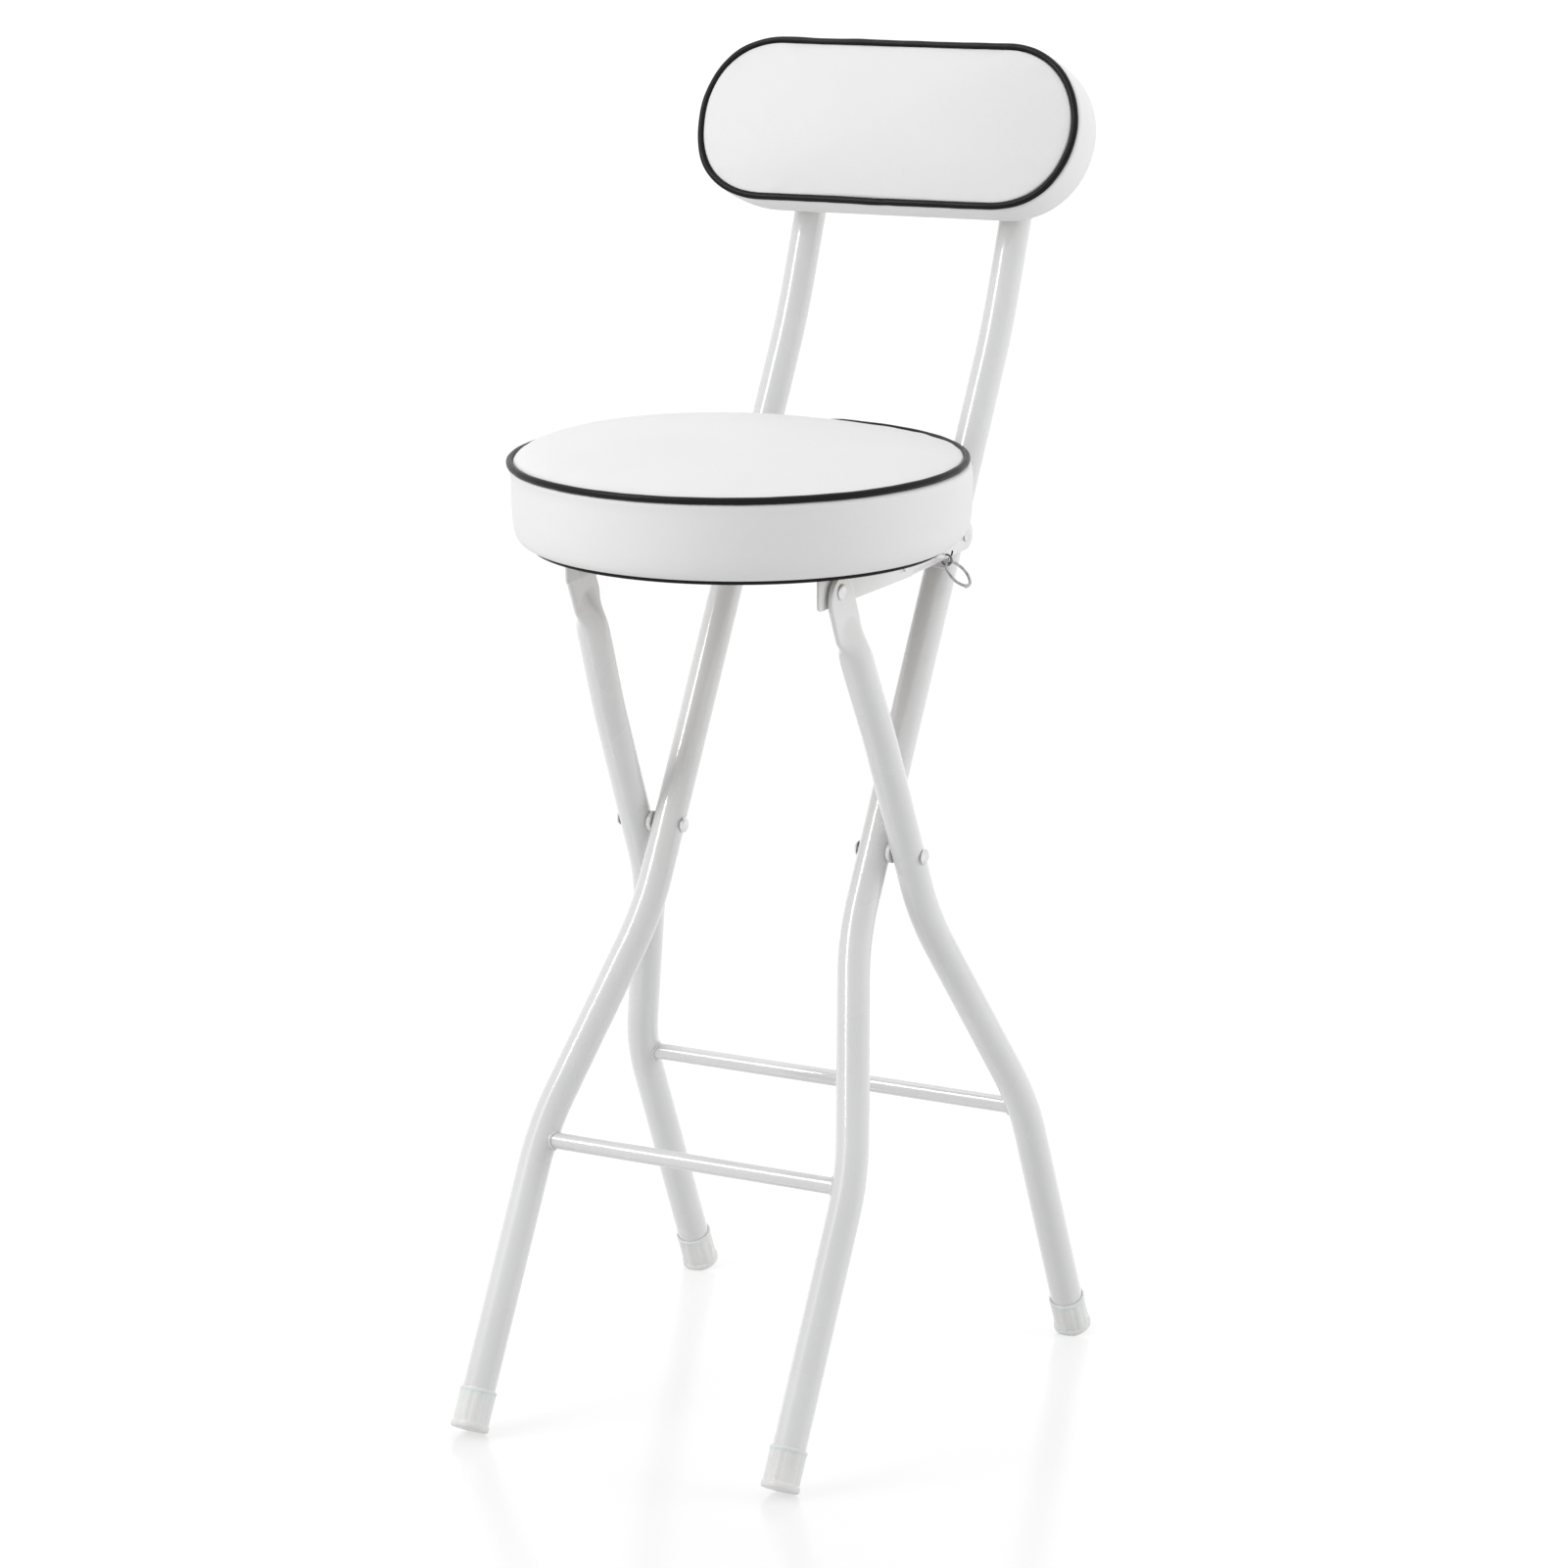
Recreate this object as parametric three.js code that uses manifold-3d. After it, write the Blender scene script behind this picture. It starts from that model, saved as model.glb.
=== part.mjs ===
// Folding bar stool: two crossing tube frames, a round padded seat on pressed rails, fold links
// that lock past centre, and a padded backrest. Millimetres, +X to the right seen from the front,
// +Y to the rear, +Z up, floor at zero.
import * as THREE from 'three';
import { mergeVertices } from 'three/addons/utils/BufferGeometryUtils.js';
import Module from 'manifold-3d';

const wasm = await Module();
wasm.setup();

// Clearances and cuts
const fit = 0.3;
const overrun = 2;

// Frame tubes
const tubeRadius = 12.5;
const tubeWall = 1.5;
const tubeSides = 16;
const bendReach = 30;
const bendSteps = 5;
const barRadius = 6.35;
const barSides = 12;

// Long frame: side line from the front feet to the fold links, spread apart below the pivot
const longFootY = -259.28;
const longSpread = 43.8;
const longSpreadDrop = 60.9;
const longSpreadLength = 156.4;
const longBarDrop = 8;
const topBendRise = 146.5;
const longTopSlope = 0.384;

// Short frame: side line from the rear feet to the seat, drawn in towards the seat
const shortFootY = 174.48;
const tubeGap = 3.82;
const shortSpread = 50.5;
const shortSpreadDrop = 53;
const shortSpreadLength = 159.4;
const shortBarDrop = 6;
const shortDrawInShare = -0.0223;

// Foot caps
const footWall = 1.25;
const footFlare = 1;
const footEdge = 1.5;
const footBaseBand = 2.5;
const footLength = 31.5;
const footFloor = 3;
const footBead = 3;
const footLip = 0.6;
const footHeelCut = 1;
const fluteCount = 12;
const fluteDepth = 0.5;

// Seat cushion, board and trims
const seatAheadOfTube = 26.11;
const seatRadius = 172;
const frameWidthShare = 0.51686;
const seatCrown = 24;
const seatDepth = 62;
const seatRoundDepth = 20.5;
const seatRoundInset = 16.8;
const seatSegments = 44;
const sideSwell = 0.8;
const boardThickness = 9.5;
const boardInset = 20.1;
const boardProud = 2;
const boardAbovePivot = 18.1;
const trimWidth = 3.2;
const pipingRadius = 2.7;
const pipingSides = 8;

// Backrest cushion and board
const backWidth = 324.4;
const backHeight = 130.1;
const backAboveBend = 156.4;
const backCrown = 14;
const backDepth = 48.7;
const backRound = 16;
const backBoardThickness = 10;
const backBoardInset = 12;
const tubeEndBelowTop = 18;
const backScrewShare = 0.3843;
const plugDome = 3;
const plugSpigot = 9;

// Seat pivot on the flattened tops of the short frame
const seatPivotHeight = 649.4;
const seatPivotY = -121;
const railToPlate = 1.7;
const plateHalfThickness = 2;
const plateHalfWidth = 18.2;
const plateArcBelowPivot = 7;
const plateFlatBelowPivot = 34;
const plateBlendLength = 28;

// Seat rails
const sheet = 2;
const railBelowPivot = 11.4;
const railAheadOfPivot = 24.5;
const railCorner = 4;
const railEndLip = 4;
const flangeBehindPivot = 31;
const flangeWithinBoard = 6.1;
const flangeWidth = 15.8;
const flangeCorner = 6;
const railScrewInset = 18;
const railScrewOut = 8.3;

// Fold links
const linkRearPivotY = 101.66;
const linkRearRise = 2.7;
const linkSpan = 106.66;
const linkPinDrop = 1.4;
const linkGap = 0.5;
const linkLobe = 11;
const stopStart = -32;
const stopEnd = -18;
const stopReach = 19;
const stopInset = 10.9;
const stopBend = 3;

// Rivets, screws and washers
const pinRadius = 3;
const rivetHeadRadius = 6;
const rivetHeadHeight = 3;
const seatHeadRadius = 6;
const flatHeadRadius = 5;
const flatHeadHeight = 1.8;
const spacerRadius = 8;
const washerRadius = 9;
const screwRadius = 2;
const screwHeadRadius = 4;
const screwHeadHeight = 2.2;
const screwBite = 7;
const turnedSides = 12;
const screwSides = 10;

// Pull ring and its wire eye
const eyeRadius = 4.1;
const eyeWire = 0.8;
const eyeAheadOfPivot = 35.16;
const eyeHoleAboveEdge = 3.2;
const eyeHoleRadius = 1.8;
const ringRadius = 11.8;
const ringWire = 0.9;
const ringLean = THREE.MathUtils.degToRad(45);
const eyeLean = THREE.MathUtils.degToRad(22);
const ringSteps = 24;
const wireSides = 6;

// Materials
const paint = new THREE.MeshStandardMaterial({ color: '#eef0f0', roughness: 0.25, metalness: 0.1 });
const vinyl = new THREE.MeshStandardMaterial({ color: '#f2f2f1', roughness: 0.45, metalness: 0 });
const blackVinyl = new THREE.MeshStandardMaterial({ color: '#111113', roughness: 0.4, metalness: 0 });
const capPlastic = new THREE.MeshStandardMaterial({ color: '#e4e6e4', roughness: 0.5, metalness: 0 });
const steel = new THREE.MeshStandardMaterial({ color: '#c9cbcc', roughness: 0.35, metalness: 0.9 });
const darkSteel = new THREE.MeshStandardMaterial({ color: '#3a3c3e', roughness: 0.4, metalness: 0.8 });
const boardWood = new THREE.MeshStandardMaterial({ color: '#a98a63', roughness: 0.8, metalness: 0 });

// Derived places
const acrossAxis = new THREE.Vector3(1, 0, 0);
const footRadius = tubeRadius + footWall;
const footBaseRadius = footRadius + footFlare;
const linkRearPivotHeight = seatPivotHeight + linkRearRise;
const linkSeatPivotHeight = seatPivotHeight - linkPinDrop;
const linkSeatPivotY = linkRearPivotY - linkSpan;
const longSlope = (linkRearPivotY - longFootY) / linkRearPivotHeight;
const shortSlope = (seatPivotY - shortFootY) / seatPivotHeight;
const longLean = Math.atan(longSlope);
const shortLean = Math.atan(shortSlope);
const backLean = Math.atan(longTopSlope);
const longSideY = (z) => longFootY + longSlope * z;
const shortSideY = (z) => shortFootY + shortSlope * z;
const scissorHeight = (shortFootY - longFootY) / (longSlope - shortSlope);
const scissorPivot = new THREE.Vector3(0, longSideY(scissorHeight), scissorHeight);
const seatPivot = new THREE.Vector3(0, seatPivotY, seatPivotHeight);
const linkRearPivot = new THREE.Vector3(0, linkRearPivotY, linkRearPivotHeight);
const linkSeatPivot = new THREE.Vector3(0, linkSeatPivotY, linkSeatPivotHeight);
const longHighX = seatRadius * frameWidthShare;
const longLowX = longHighX + longSpread;
const longOuterX = longHighX + tubeRadius;
const longInnerX = longHighX - tubeRadius;
const longSpreadTop = scissorHeight - longSpreadDrop;
const longSpreadBottom = longSpreadTop - longSpreadLength;
const longBarHeight = longSpreadBottom - longBarDrop;
const longTopBend = linkRearPivotHeight + topBendRise;
const shortPivotX = longOuterX + tubeGap + tubeRadius;
const shortHighX = shortPivotX - shortDrawInShare * shortSpreadDrop;
const shortLowX = shortHighX + shortSpread;
const shortSpreadTop = scissorHeight - shortSpreadDrop;
const shortSpreadBottom = shortSpreadTop - shortSpreadLength;
const shortBarHeight = shortSpreadBottom - shortBarDrop;
const shortUpperX = (z) => shortPivotX + shortDrawInShare * (z - scissorHeight);
const linkInnerX = longOuterX + linkGap;
const linkOuterX = linkInnerX + sheet;
const railInnerX = linkOuterX + fit;
const railOuterX = railInnerX + sheet;
const plateInnerX = railOuterX + railToPlate;
const plateCentreX = plateInnerX + plateHalfThickness;
const plateOuterX = plateCentreX + plateHalfThickness;
const boardBottom = seatPivotHeight + boardAbovePivot;
const seatPipingHeight = boardBottom + boardProud + seatDepth;
const seatCentreY = linkRearPivotY - seatAheadOfTube - Math.sqrt(seatRadius ** 2 - longHighX ** 2);
const backCentreHeight = longTopBend + backAboveBend;
const backStack = backDepth + fit + backBoardThickness + fit + tubeRadius;

// Turn a geometry so that its faces point out, and give it normals.
function facingOut(geometry) {
  const points = geometry.attributes.position;
  const index = geometry.index.array;
  const corner = (k) => new THREE.Vector3().fromBufferAttribute(points, index[k]);
  let volume = 0;
  for (let k = 0; k < index.length; k += 3) {
    volume += corner(k).dot(corner(k + 1).cross(corner(k + 2)));
  }
  if (volume < 0) {
    for (let k = 0; k < index.length; k += 3) {
      [index[k], index[k + 1]] = [index[k + 1], index[k]];
    }
  }
  geometry.computeVertexNormals();
  return geometry;
}

// A closed skin through a run of rings: joined end to end, or with a flat cap at each end.
function loft(rings, joined = false) {
  const count = rings[0].length;
  const positions = rings.flatMap((ring) => ring.flatMap((point) => point.toArray()));
  const index = [];
  const spans = joined ? rings.length : rings.length - 1;
  for (let i = 0; i < spans; i += 1) {
    const here = i * count;
    const next = ((i + 1) % rings.length) * count;
    for (let k = 0; k < count; k += 1) {
      const l = (k + 1) % count;
      index.push(here + k, here + l, next + l, here + k, next + l, next + k);
    }
  }
  if (!joined) {
    const last = (rings.length - 1) * count;
    for (let k = 1; k < count - 1; k += 1) {
      index.push(0, k + 1, k, last, last + k, last + k + 1);
    }
  }
  const geometry = new THREE.BufferGeometry();
  geometry.setAttribute('position', new THREE.Float32BufferAttribute(positions, 3));
  geometry.setIndex(index);
  return facingOut(geometry);
}

// Change a closed geometry into a solid that can be cut or joined, and back.
function solidOf(geometry) {
  const bare = geometry.clone();
  bare.deleteAttribute('normal');
  bare.deleteAttribute('uv');
  const merged = mergeVertices(bare);
  return new wasm.Manifold(new wasm.Mesh({
    numProp: 3,
    vertProperties: new Float32Array(merged.attributes.position.array),
    triVerts: new Uint32Array(merged.index.array),
  }));
}

function geometryOf(solid) {
  const mesh = solid.getMesh();
  const geometry = new THREE.BufferGeometry();
  geometry.setAttribute('position', new THREE.Float32BufferAttribute(mesh.vertProperties, 3));
  geometry.setIndex(Array.from(mesh.triVerts));
  return facingOut(geometry);
}

function cut(geometry, ...tools) {
  return geometryOf(tools.reduce((body, tool) => body.subtract(solidOf(tool)), solidOf(geometry)));
}

function join(geometry, ...others) {
  return geometryOf(others.reduce((body, other) => body.add(solidOf(other)), solidOf(geometry)));
}

// The same shape on the other side of the middle plane.
function mirrored(geometry) {
  const copy = geometry.clone().scale(-1, 1, 1);
  return facingOut(copy);
}

// A route of straight legs whose inner corners are eased by a curve.
function easedRoute(corners) {
  const route = [corners[0]];
  for (let i = 1; i < corners.length - 1; i += 1) {
    const before = corners[i - 1].clone().sub(corners[i]).setLength(bendReach).add(corners[i]);
    const after = corners[i + 1].clone().sub(corners[i]).setLength(bendReach).add(corners[i]);
    const curve = new THREE.QuadraticBezierCurve3(before, corners[i], after);
    route.push(...curve.getPoints(bendSteps));
  }
  route.push(corners[corners.length - 1]);
  return route;
}

// The two directions across a route at one of its points.
function acrossRoute(route, i) {
  const before = route[Math.max(i - 1, 0)];
  const after = route[Math.min(i + 1, route.length - 1)];
  const along = after.clone().sub(before).normalize();
  const side = acrossAxis.clone().addScaledVector(along, -along.x).normalize();
  return { side, front: along.clone().cross(side) };
}

function roundRings(route, radius, sides = tubeSides) {
  return route.map((centre, i) => {
    const { side, front } = acrossRoute(route, i);
    return Array.from({ length: sides }, (_, k) => {
      const turn = (2 * Math.PI * k) / sides;
      return centre.clone()
        .addScaledVector(side, radius * Math.cos(turn))
        .addScaledVector(front, radius * Math.sin(turn));
    });
  });
}

// A straight rod between two points.
function rod(from, to, radius, sides = turnedSides) {
  const length = from.distanceTo(to);
  const geometry = new THREE.CylinderGeometry(radius, radius, length, sides);
  const turn = new THREE.Quaternion().setFromUnitVectors(
    new THREE.Vector3(0, 1, 0),
    to.clone().sub(from).normalize(),
  );
  geometry.applyQuaternion(turn);
  const middle = from.clone().add(to).multiplyScalar(0.5);
  return geometry.translate(middle.x, middle.y, middle.z);
}

// A rod across the stool at a pivot.
function crossRod(pivot, fromX, toX, radius, sides = turnedSides) {
  const from = pivot.clone().setX(fromX);
  const to = pivot.clone().setX(toX);
  return rod(from, to, radius, sides);
}

// A turned piece whose axis runs across the stool: points are [distance along X, radius].
function turnedAcross(pivot, profile) {
  const points = profile.map(([along, radius]) => new THREE.Vector2(radius, along));
  const geometry = new THREE.LatheGeometry(points, turnedSides);
  geometry.rotateZ(-Math.PI / 2);
  const merged = mergeVertices(geometry.deleteAttribute('normal').deleteAttribute('uv'));
  return facingOut(merged.translate(0, pivot.y, pivot.z));
}

// A washer or spacer across the stool.
function ringAcross(pivot, fromX, toX, outer, inner) {
  return turnedAcross(pivot, [
    [fromX, inner], [fromX, outer], [toX, outer], [toX, inner], [fromX, inner],
  ]);
}

// A domed head from its flat side at one place to its tip, as turned points.
function domePoints(flatAt, tipAt, radius) {
  const steps = 3;
  return Array.from({ length: steps + 1 }, (_, k) => {
    const turn = (Math.PI / 2) * (k / steps);
    return [flatAt + (tipAt - flatAt) * Math.sin(turn), radius * Math.cos(turn)];
  });
}

// A rivet with a domed head at both ends, through everything between the two heads.
function rivet(pivot, headFrom, headTo, headRadius, headHeight) {
  return turnedAcross(pivot, [
    ...domePoints(headFrom, headFrom - headHeight, headRadius).reverse(),
    [headFrom, pinRadius],
    [headTo, pinRadius],
    ...domePoints(headTo, headTo + headHeight, headRadius),
  ]);
}

// A plate of sheet metal that stands in the side view, from an outline in y and z.
function sidePlate(shape, fromX, thickness) {
  const geometry = new THREE.ExtrudeGeometry(shape, { depth: thickness, bevelEnabled: false, curveSegments: 10 });
  geometry.rotateY(Math.PI / 2).rotateX(Math.PI / 2);
  return geometry.translate(fromX, 0, 0);
}

function box(fromX, toX, fromY, toY, fromZ, toZ) {
  const geometry = new THREE.BoxGeometry(toX - fromX, toY - fromY, toZ - fromZ);
  return geometry.translate((fromX + toX) / 2, (fromY + toY) / 2, (fromZ + toZ) / 2);
}

// Add one named piece to its group, or a right and left pair of it.
function place(parent, name, geometry, material) {
  const mesh = new THREE.Mesh(geometry, material);
  mesh.name = name;
  parent.add(mesh);
}

function placePair(parent, name, geometry, material) {
  place(parent, `${name}_right`, geometry, material);
  place(parent, `${name}_left`, mirrored(geometry), material);
}

// Foot cap: a fluted sleeve with a flared base, its sole square to the tube and cut flat at the heel.
function footBase(frameX, sideY, lean) {
  const soleRadius = footBaseRadius - footEdge;
  const height = soleRadius * Math.abs(Math.sin(lean)) - footHeelCut;
  return new THREE.Vector3(frameX, sideY(height), height);
}

const floorTool = box(
  -shortLowX - footBaseRadius - overrun,
  shortLowX + footBaseRadius + overrun,
  longFootY - footLength,
  shortFootY + footLength,
  -footLength,
  0,
);

function footCap(base, lean) {
  const bore = tubeRadius + fit;
  const fluteBottom = footEdge + footBaseBand + footEdge;
  const fluteTop = footLength - footBead;
  const rows = [
    [0, footBaseRadius - footEdge, 0],
    [footEdge, footBaseRadius, 0],
    [footEdge + footBaseBand, footBaseRadius, 0],
    [fluteBottom, footRadius, fluteDepth],
    [fluteTop, footRadius, fluteDepth],
    [fluteTop + footLip, footRadius + footLip / 2, 0],
    [footLength - footLip, footRadius + footLip / 2, 0],
    [footLength, footRadius - footLip / 2, 0],
    [footLength, bore, 0],
    [footFloor, bore, 0],
  ];
  const count = 2 * fluteCount;
  const rings = rows.map(([along, radius, flute]) => Array.from({ length: count }, (_, k) => {
    const turn = (2 * Math.PI * k) / count;
    const reach = radius - flute * (k % 2);
    return new THREE.Vector3(reach * Math.cos(turn), reach * Math.sin(turn), along);
  }));
  const cap = loft(rings);
  cap.rotateX(-lean).translate(base.x, base.y, base.z);
  return cut(cap, floorTool);
}

function alongLean(base, lean, distance) {
  return base.clone().add(new THREE.Vector3(0, Math.sin(lean), Math.cos(lean)).multiplyScalar(distance));
}

// Cushions: a crown, a groove that holds the piping, a side that swells and a rounded lower edge.
// Each profile point is [outset from the outline, height over the piping line].
const crownShares = [0.1, 0.3, 0.5, 0.68, 0.82, 0.92, 0.975];
const crownPower = 2.5;
const grooveStart = THREE.MathUtils.degToRad(112);
const grooveEnd = THREE.MathUtils.degToRad(330);

function cushionProfile({ inset, crown, sideDepth, roundInset, roundDepth, grooveSteps, roundSteps }) {
  const groove = pipingRadius + fit;
  const grooveTop = groove * Math.sin(grooveStart);
  const profile = crownShares.map((share) => [
    -inset + share * inset,
    grooveTop + (crown - grooveTop) * (1 - share ** crownPower),
  ]);
  for (let k = 0; k <= grooveSteps; k += 1) {
    const turn = grooveStart + (grooveEnd - grooveStart) * (k / grooveSteps);
    profile.push([-pipingRadius + groove * Math.cos(turn), groove * Math.sin(turn)]);
  }
  profile.push([sideSwell, -sideDepth / 2], [0, -sideDepth]);
  for (let k = 1; k <= roundSteps; k += 1) {
    const turn = (Math.PI / 2) * (k / roundSteps);
    profile.push([-roundInset * (1 - Math.cos(turn)), -sideDepth - roundDepth * Math.sin(turn)]);
  }
  return profile;
}

function circleOutline(radius, segments) {
  return (outset, height) => Array.from({ length: segments }, (_, k) => {
    const turn = (2 * Math.PI * k) / segments;
    const reach = radius + outset;
    return new THREE.Vector3(reach * Math.cos(turn), reach * Math.sin(turn), height);
  });
}

// An outline with straight top and bottom and round ends.
const backArcSteps = 12;
const backStraightSteps = 5;

function obroundOutline(width, height) {
  const straight = (width - height) / 2;
  return (outset, lift) => {
    const reach = height / 2 + outset;
    const points = [];
    [1, -1].forEach((way) => {
      for (let k = 0; k <= backArcSteps; k += 1) {
        const turn = -Math.PI / 2 + (Math.PI * k) / backArcSteps;
        points.push([way * (straight + reach * Math.cos(turn)), way * reach * Math.sin(turn)]);
      }
      for (let k = 1; k < backStraightSteps; k += 1) {
        points.push([way * straight * (1 - (2 * k) / backStraightSteps), way * reach]);
      }
    });
    return points.map(([x, y]) => new THREE.Vector3(x, y, lift));
  };
}

function profileLoft(outline, profile) {
  return loft(profile.map(([outset, height]) => outline(outset, height)));
}

// Piping: a round cord along the outline, just inside its edge.
function pipingLoop(outline) {
  const sections = Array.from({ length: pipingSides }, (_, k) => {
    const turn = (2 * Math.PI * k) / pipingSides;
    return outline(-pipingRadius + pipingRadius * Math.cos(turn), pipingRadius * Math.sin(turn));
  });
  return loft(sections, true);
}

// Long frame tubes and their crossbar
const stool = new THREE.Group();
const longFrame = new THREE.Group();
const shortFrame = new THREE.Group();
const seat = new THREE.Group();
const foldLinks = new THREE.Group();
const pullRing = new THREE.Group();
stool.add(longFrame, shortFrame, seat, foldLinks, pullRing);

const backrest = new THREE.Group();
const backUp = new THREE.Vector3(0, Math.sin(backLean), Math.cos(backLean));
const backFront = new THREE.Vector3(0, -Math.cos(backLean), Math.sin(backLean));
const backAxisHeight = backCentreHeight - backStack * backFront.z;
const longTopY = (z) => longSideY(longTopBend) + longTopSlope * (z - longTopBend);
const backAxis = new THREE.Vector3(longHighX, longTopY(backAxisHeight), backAxisHeight);
const backCentre = backAxis.clone().addScaledVector(backFront, backStack).setX(0);
backrest.position.copy(backCentre);
backrest.rotation.x = Math.PI / 2 - backLean;
longFrame.add(backrest);

const longFoot = footBase(longLowX, longSideY, longLean);
const longTop = backAxis.clone().addScaledVector(backUp, backHeight / 2 - tubeEndBelowTop);
const longRoute = easedRoute([
  alongLean(longFoot, longLean, footFloor + fit),
  new THREE.Vector3(longLowX, longSideY(longSpreadBottom), longSpreadBottom),
  new THREE.Vector3(longHighX, longSideY(longSpreadTop), longSpreadTop),
  new THREE.Vector3(longHighX, longSideY(longTopBend), longTopBend),
  longTop,
]);
const pinHole = pinRadius + fit;
const backScrewSpacing = backHeight * backScrewShare;
const backScrewRise = [-backScrewSpacing / 2, backScrewSpacing / 2];
const backScrewHoles = backScrewRise.map((rise) => {
  const middle = backAxis.clone().addScaledVector(backUp, rise);
  const reach = tubeRadius + overrun;
  return rod(
    middle.clone().addScaledVector(backFront, -reach),
    middle.clone().addScaledVector(backFront, reach),
    screwRadius + fit,
    barSides / 2,
  );
});
const hollowTube = loft([
  ...roundRings(longRoute, tubeRadius),
  ...roundRings(longRoute, tubeRadius - tubeWall).reverse(),
], true);
const longTube = cut(
  hollowTube,
  crossRod(scissorPivot, longInnerX - overrun, longOuterX + overrun, pinHole),
  crossRod(linkRearPivot, longInnerX - overrun, longOuterX + overrun, pinHole),
  ...backScrewHoles,
);
placePair(longFrame, 'back_tube', longTube, paint);

// A crossbar between two tubes, its ends coped to their round sides.
function crossbar(frameX, sideY, height, route) {
  const middle = new THREE.Vector3(0, sideY(height), height);
  const blank = crossRod(middle, -frameX, frameX, barRadius, barSides);
  const tube = loft(roundRings(route, tubeRadius + fit));
  return cut(blank, tube, mirrored(tube));
}
place(longFrame, 'front_crossbar', crossbar(longLowX, longSideY, longBarHeight, longRoute), paint);
placePair(longFrame, 'front_foot', footCap(longFoot, longLean), capPlastic);

// Plugs in the open tube tops
const plugBore = tubeRadius - tubeWall - fit;
const plugPoints = [
  ...domePoints(plugDome / 2 + fit, plugDome + fit, tubeRadius - plugDome / 2).reverse(),
  [fit, tubeRadius],
  [fit, plugBore],
  [-plugSpigot, plugBore],
  [-plugSpigot, 0],
].map(([along, radius]) => new THREE.Vector2(radius, along));
const plugTurned = new THREE.LatheGeometry(plugPoints, tubeSides);
const plug = facingOut(mergeVertices(plugTurned.deleteAttribute('normal').deleteAttribute('uv')));
plug.rotateX(Math.PI / 2 - backLean).translate(longTop.x, longTop.y, longTop.z);
placePair(longFrame, 'tube_plug', plug, capPlastic);

// Backrest cushion, piping, board and screws, in the backrest's own leaning frame
const backOutline = obroundOutline(backWidth, backHeight);
const backProfile = cushionProfile({
  inset: backHeight / 2,
  crown: backCrown,
  sideDepth: backDepth - backRound,
  roundInset: backRound,
  roundDepth: backRound,
  grooveSteps: 5,
  roundSteps: 4,
});
place(backrest, 'backrest_pad', profileLoft(backOutline, backProfile), vinyl);
place(backrest, 'backrest_piping', pipingLoop(backOutline), blackVinyl);

const backBoardTop = -backDepth - fit;
const backBoardBase = backBoardTop - backBoardThickness;
const backBoard = profileLoft(backOutline, [
  [-backBoardInset, backBoardTop],
  [-backBoardInset, backBoardBase],
]);
const backScrewPlaces = [1, -1].flatMap((way) => backScrewRise.map((rise) => [way * longHighX, rise]));
const backBoardHoles = backScrewPlaces.map(([x, rise]) => rod(
  new THREE.Vector3(x, rise, backBoardBase - overrun),
  new THREE.Vector3(x, rise, backBoardTop - overrun),
  screwRadius + fit,
  barSides / 2,
));
place(backrest, 'backrest_board', cut(backBoard, ...backBoardHoles), boardWood);

// A round-headed screw from its head's flat side to its tip, pointing along +Z.
function screw(length) {
  const points = [
    ...domePoints(0, -screwHeadHeight, screwHeadRadius).reverse(),
    [0, screwRadius],
    [length - screwRadius, screwRadius],
    [length, 0],
  ].map(([along, radius]) => new THREE.Vector2(radius, along));
  const turned = new THREE.LatheGeometry(points, screwSides);
  const geometry = mergeVertices(turned.deleteAttribute('normal').deleteAttribute('uv'));
  return facingOut(geometry.rotateX(Math.PI / 2));
}
const backScrewHead = backBoardBase - fit - 2 * tubeRadius - fit;
const backScrew = screw(backBoardBase + screwBite - backScrewHead);
backScrewPlaces.forEach(([x, rise], k) => {
  const geometry = backScrew.clone().translate(x, rise, backScrewHead);
  place(backrest, `backrest_screw_${k + 1}`, geometry, steel);
});

// Short frame tubes: hollow from the foot, pressed flat round the seat pivot and rounded off
const shortFoot = footBase(shortLowX, shortSideY, shortLean);
const shortUp = new THREE.Vector3(0, Math.sin(shortLean), Math.cos(shortLean));
const flattenStart = seatPivot.clone().addScaledVector(shortUp, -plateFlatBelowPivot - plateBlendLength);
const shortRoute = easedRoute([
  alongLean(shortFoot, shortLean, footFloor + fit),
  new THREE.Vector3(shortLowX, shortSideY(shortSpreadBottom), shortSpreadBottom),
  new THREE.Vector3(shortHighX, shortSideY(shortSpreadTop), shortSpreadTop),
  flattenStart.clone().setX(shortUpperX(flattenStart.z)),
]);

// One ring of the pressed top: share 0 is the round tube, share 1 the flat plate.
function pressedRing(distance, share, halfWidth) {
  const axis = seatPivot.clone().addScaledVector(shortUp, distance);
  const centreX = THREE.MathUtils.lerp(shortUpperX(axis.z), plateCentreX, share);
  const front = shortUp.clone().cross(acrossAxis);
  const flatLength = halfWidth - plateHalfThickness;
  return Array.from({ length: tubeSides }, (_, k) => {
    const turn = (2 * Math.PI * k) / tubeSides;
    const width = halfWidth * Math.sin(turn);
    const past = Math.max(Math.abs(width) - flatLength, 0);
    const across = Math.sqrt(Math.max(plateHalfThickness ** 2 - past ** 2, 0));
    const flatX = Math.abs(Math.cos(turn)) < 1e-9 ? 0 : Math.sign(Math.cos(turn)) * across;
    const x = centreX + THREE.MathUtils.lerp(tubeRadius * Math.cos(turn), flatX, share);
    const reach = THREE.MathUtils.lerp(tubeRadius * Math.sin(turn), width, share);
    return axis.clone().setX(x).addScaledVector(front, reach);
  });
}
const blendShares = [0.2, 0.4, 0.6, 0.8, 1];
const roundOffShares = [0, 0.35, 0.65, 0.88, 0.985];
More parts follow.
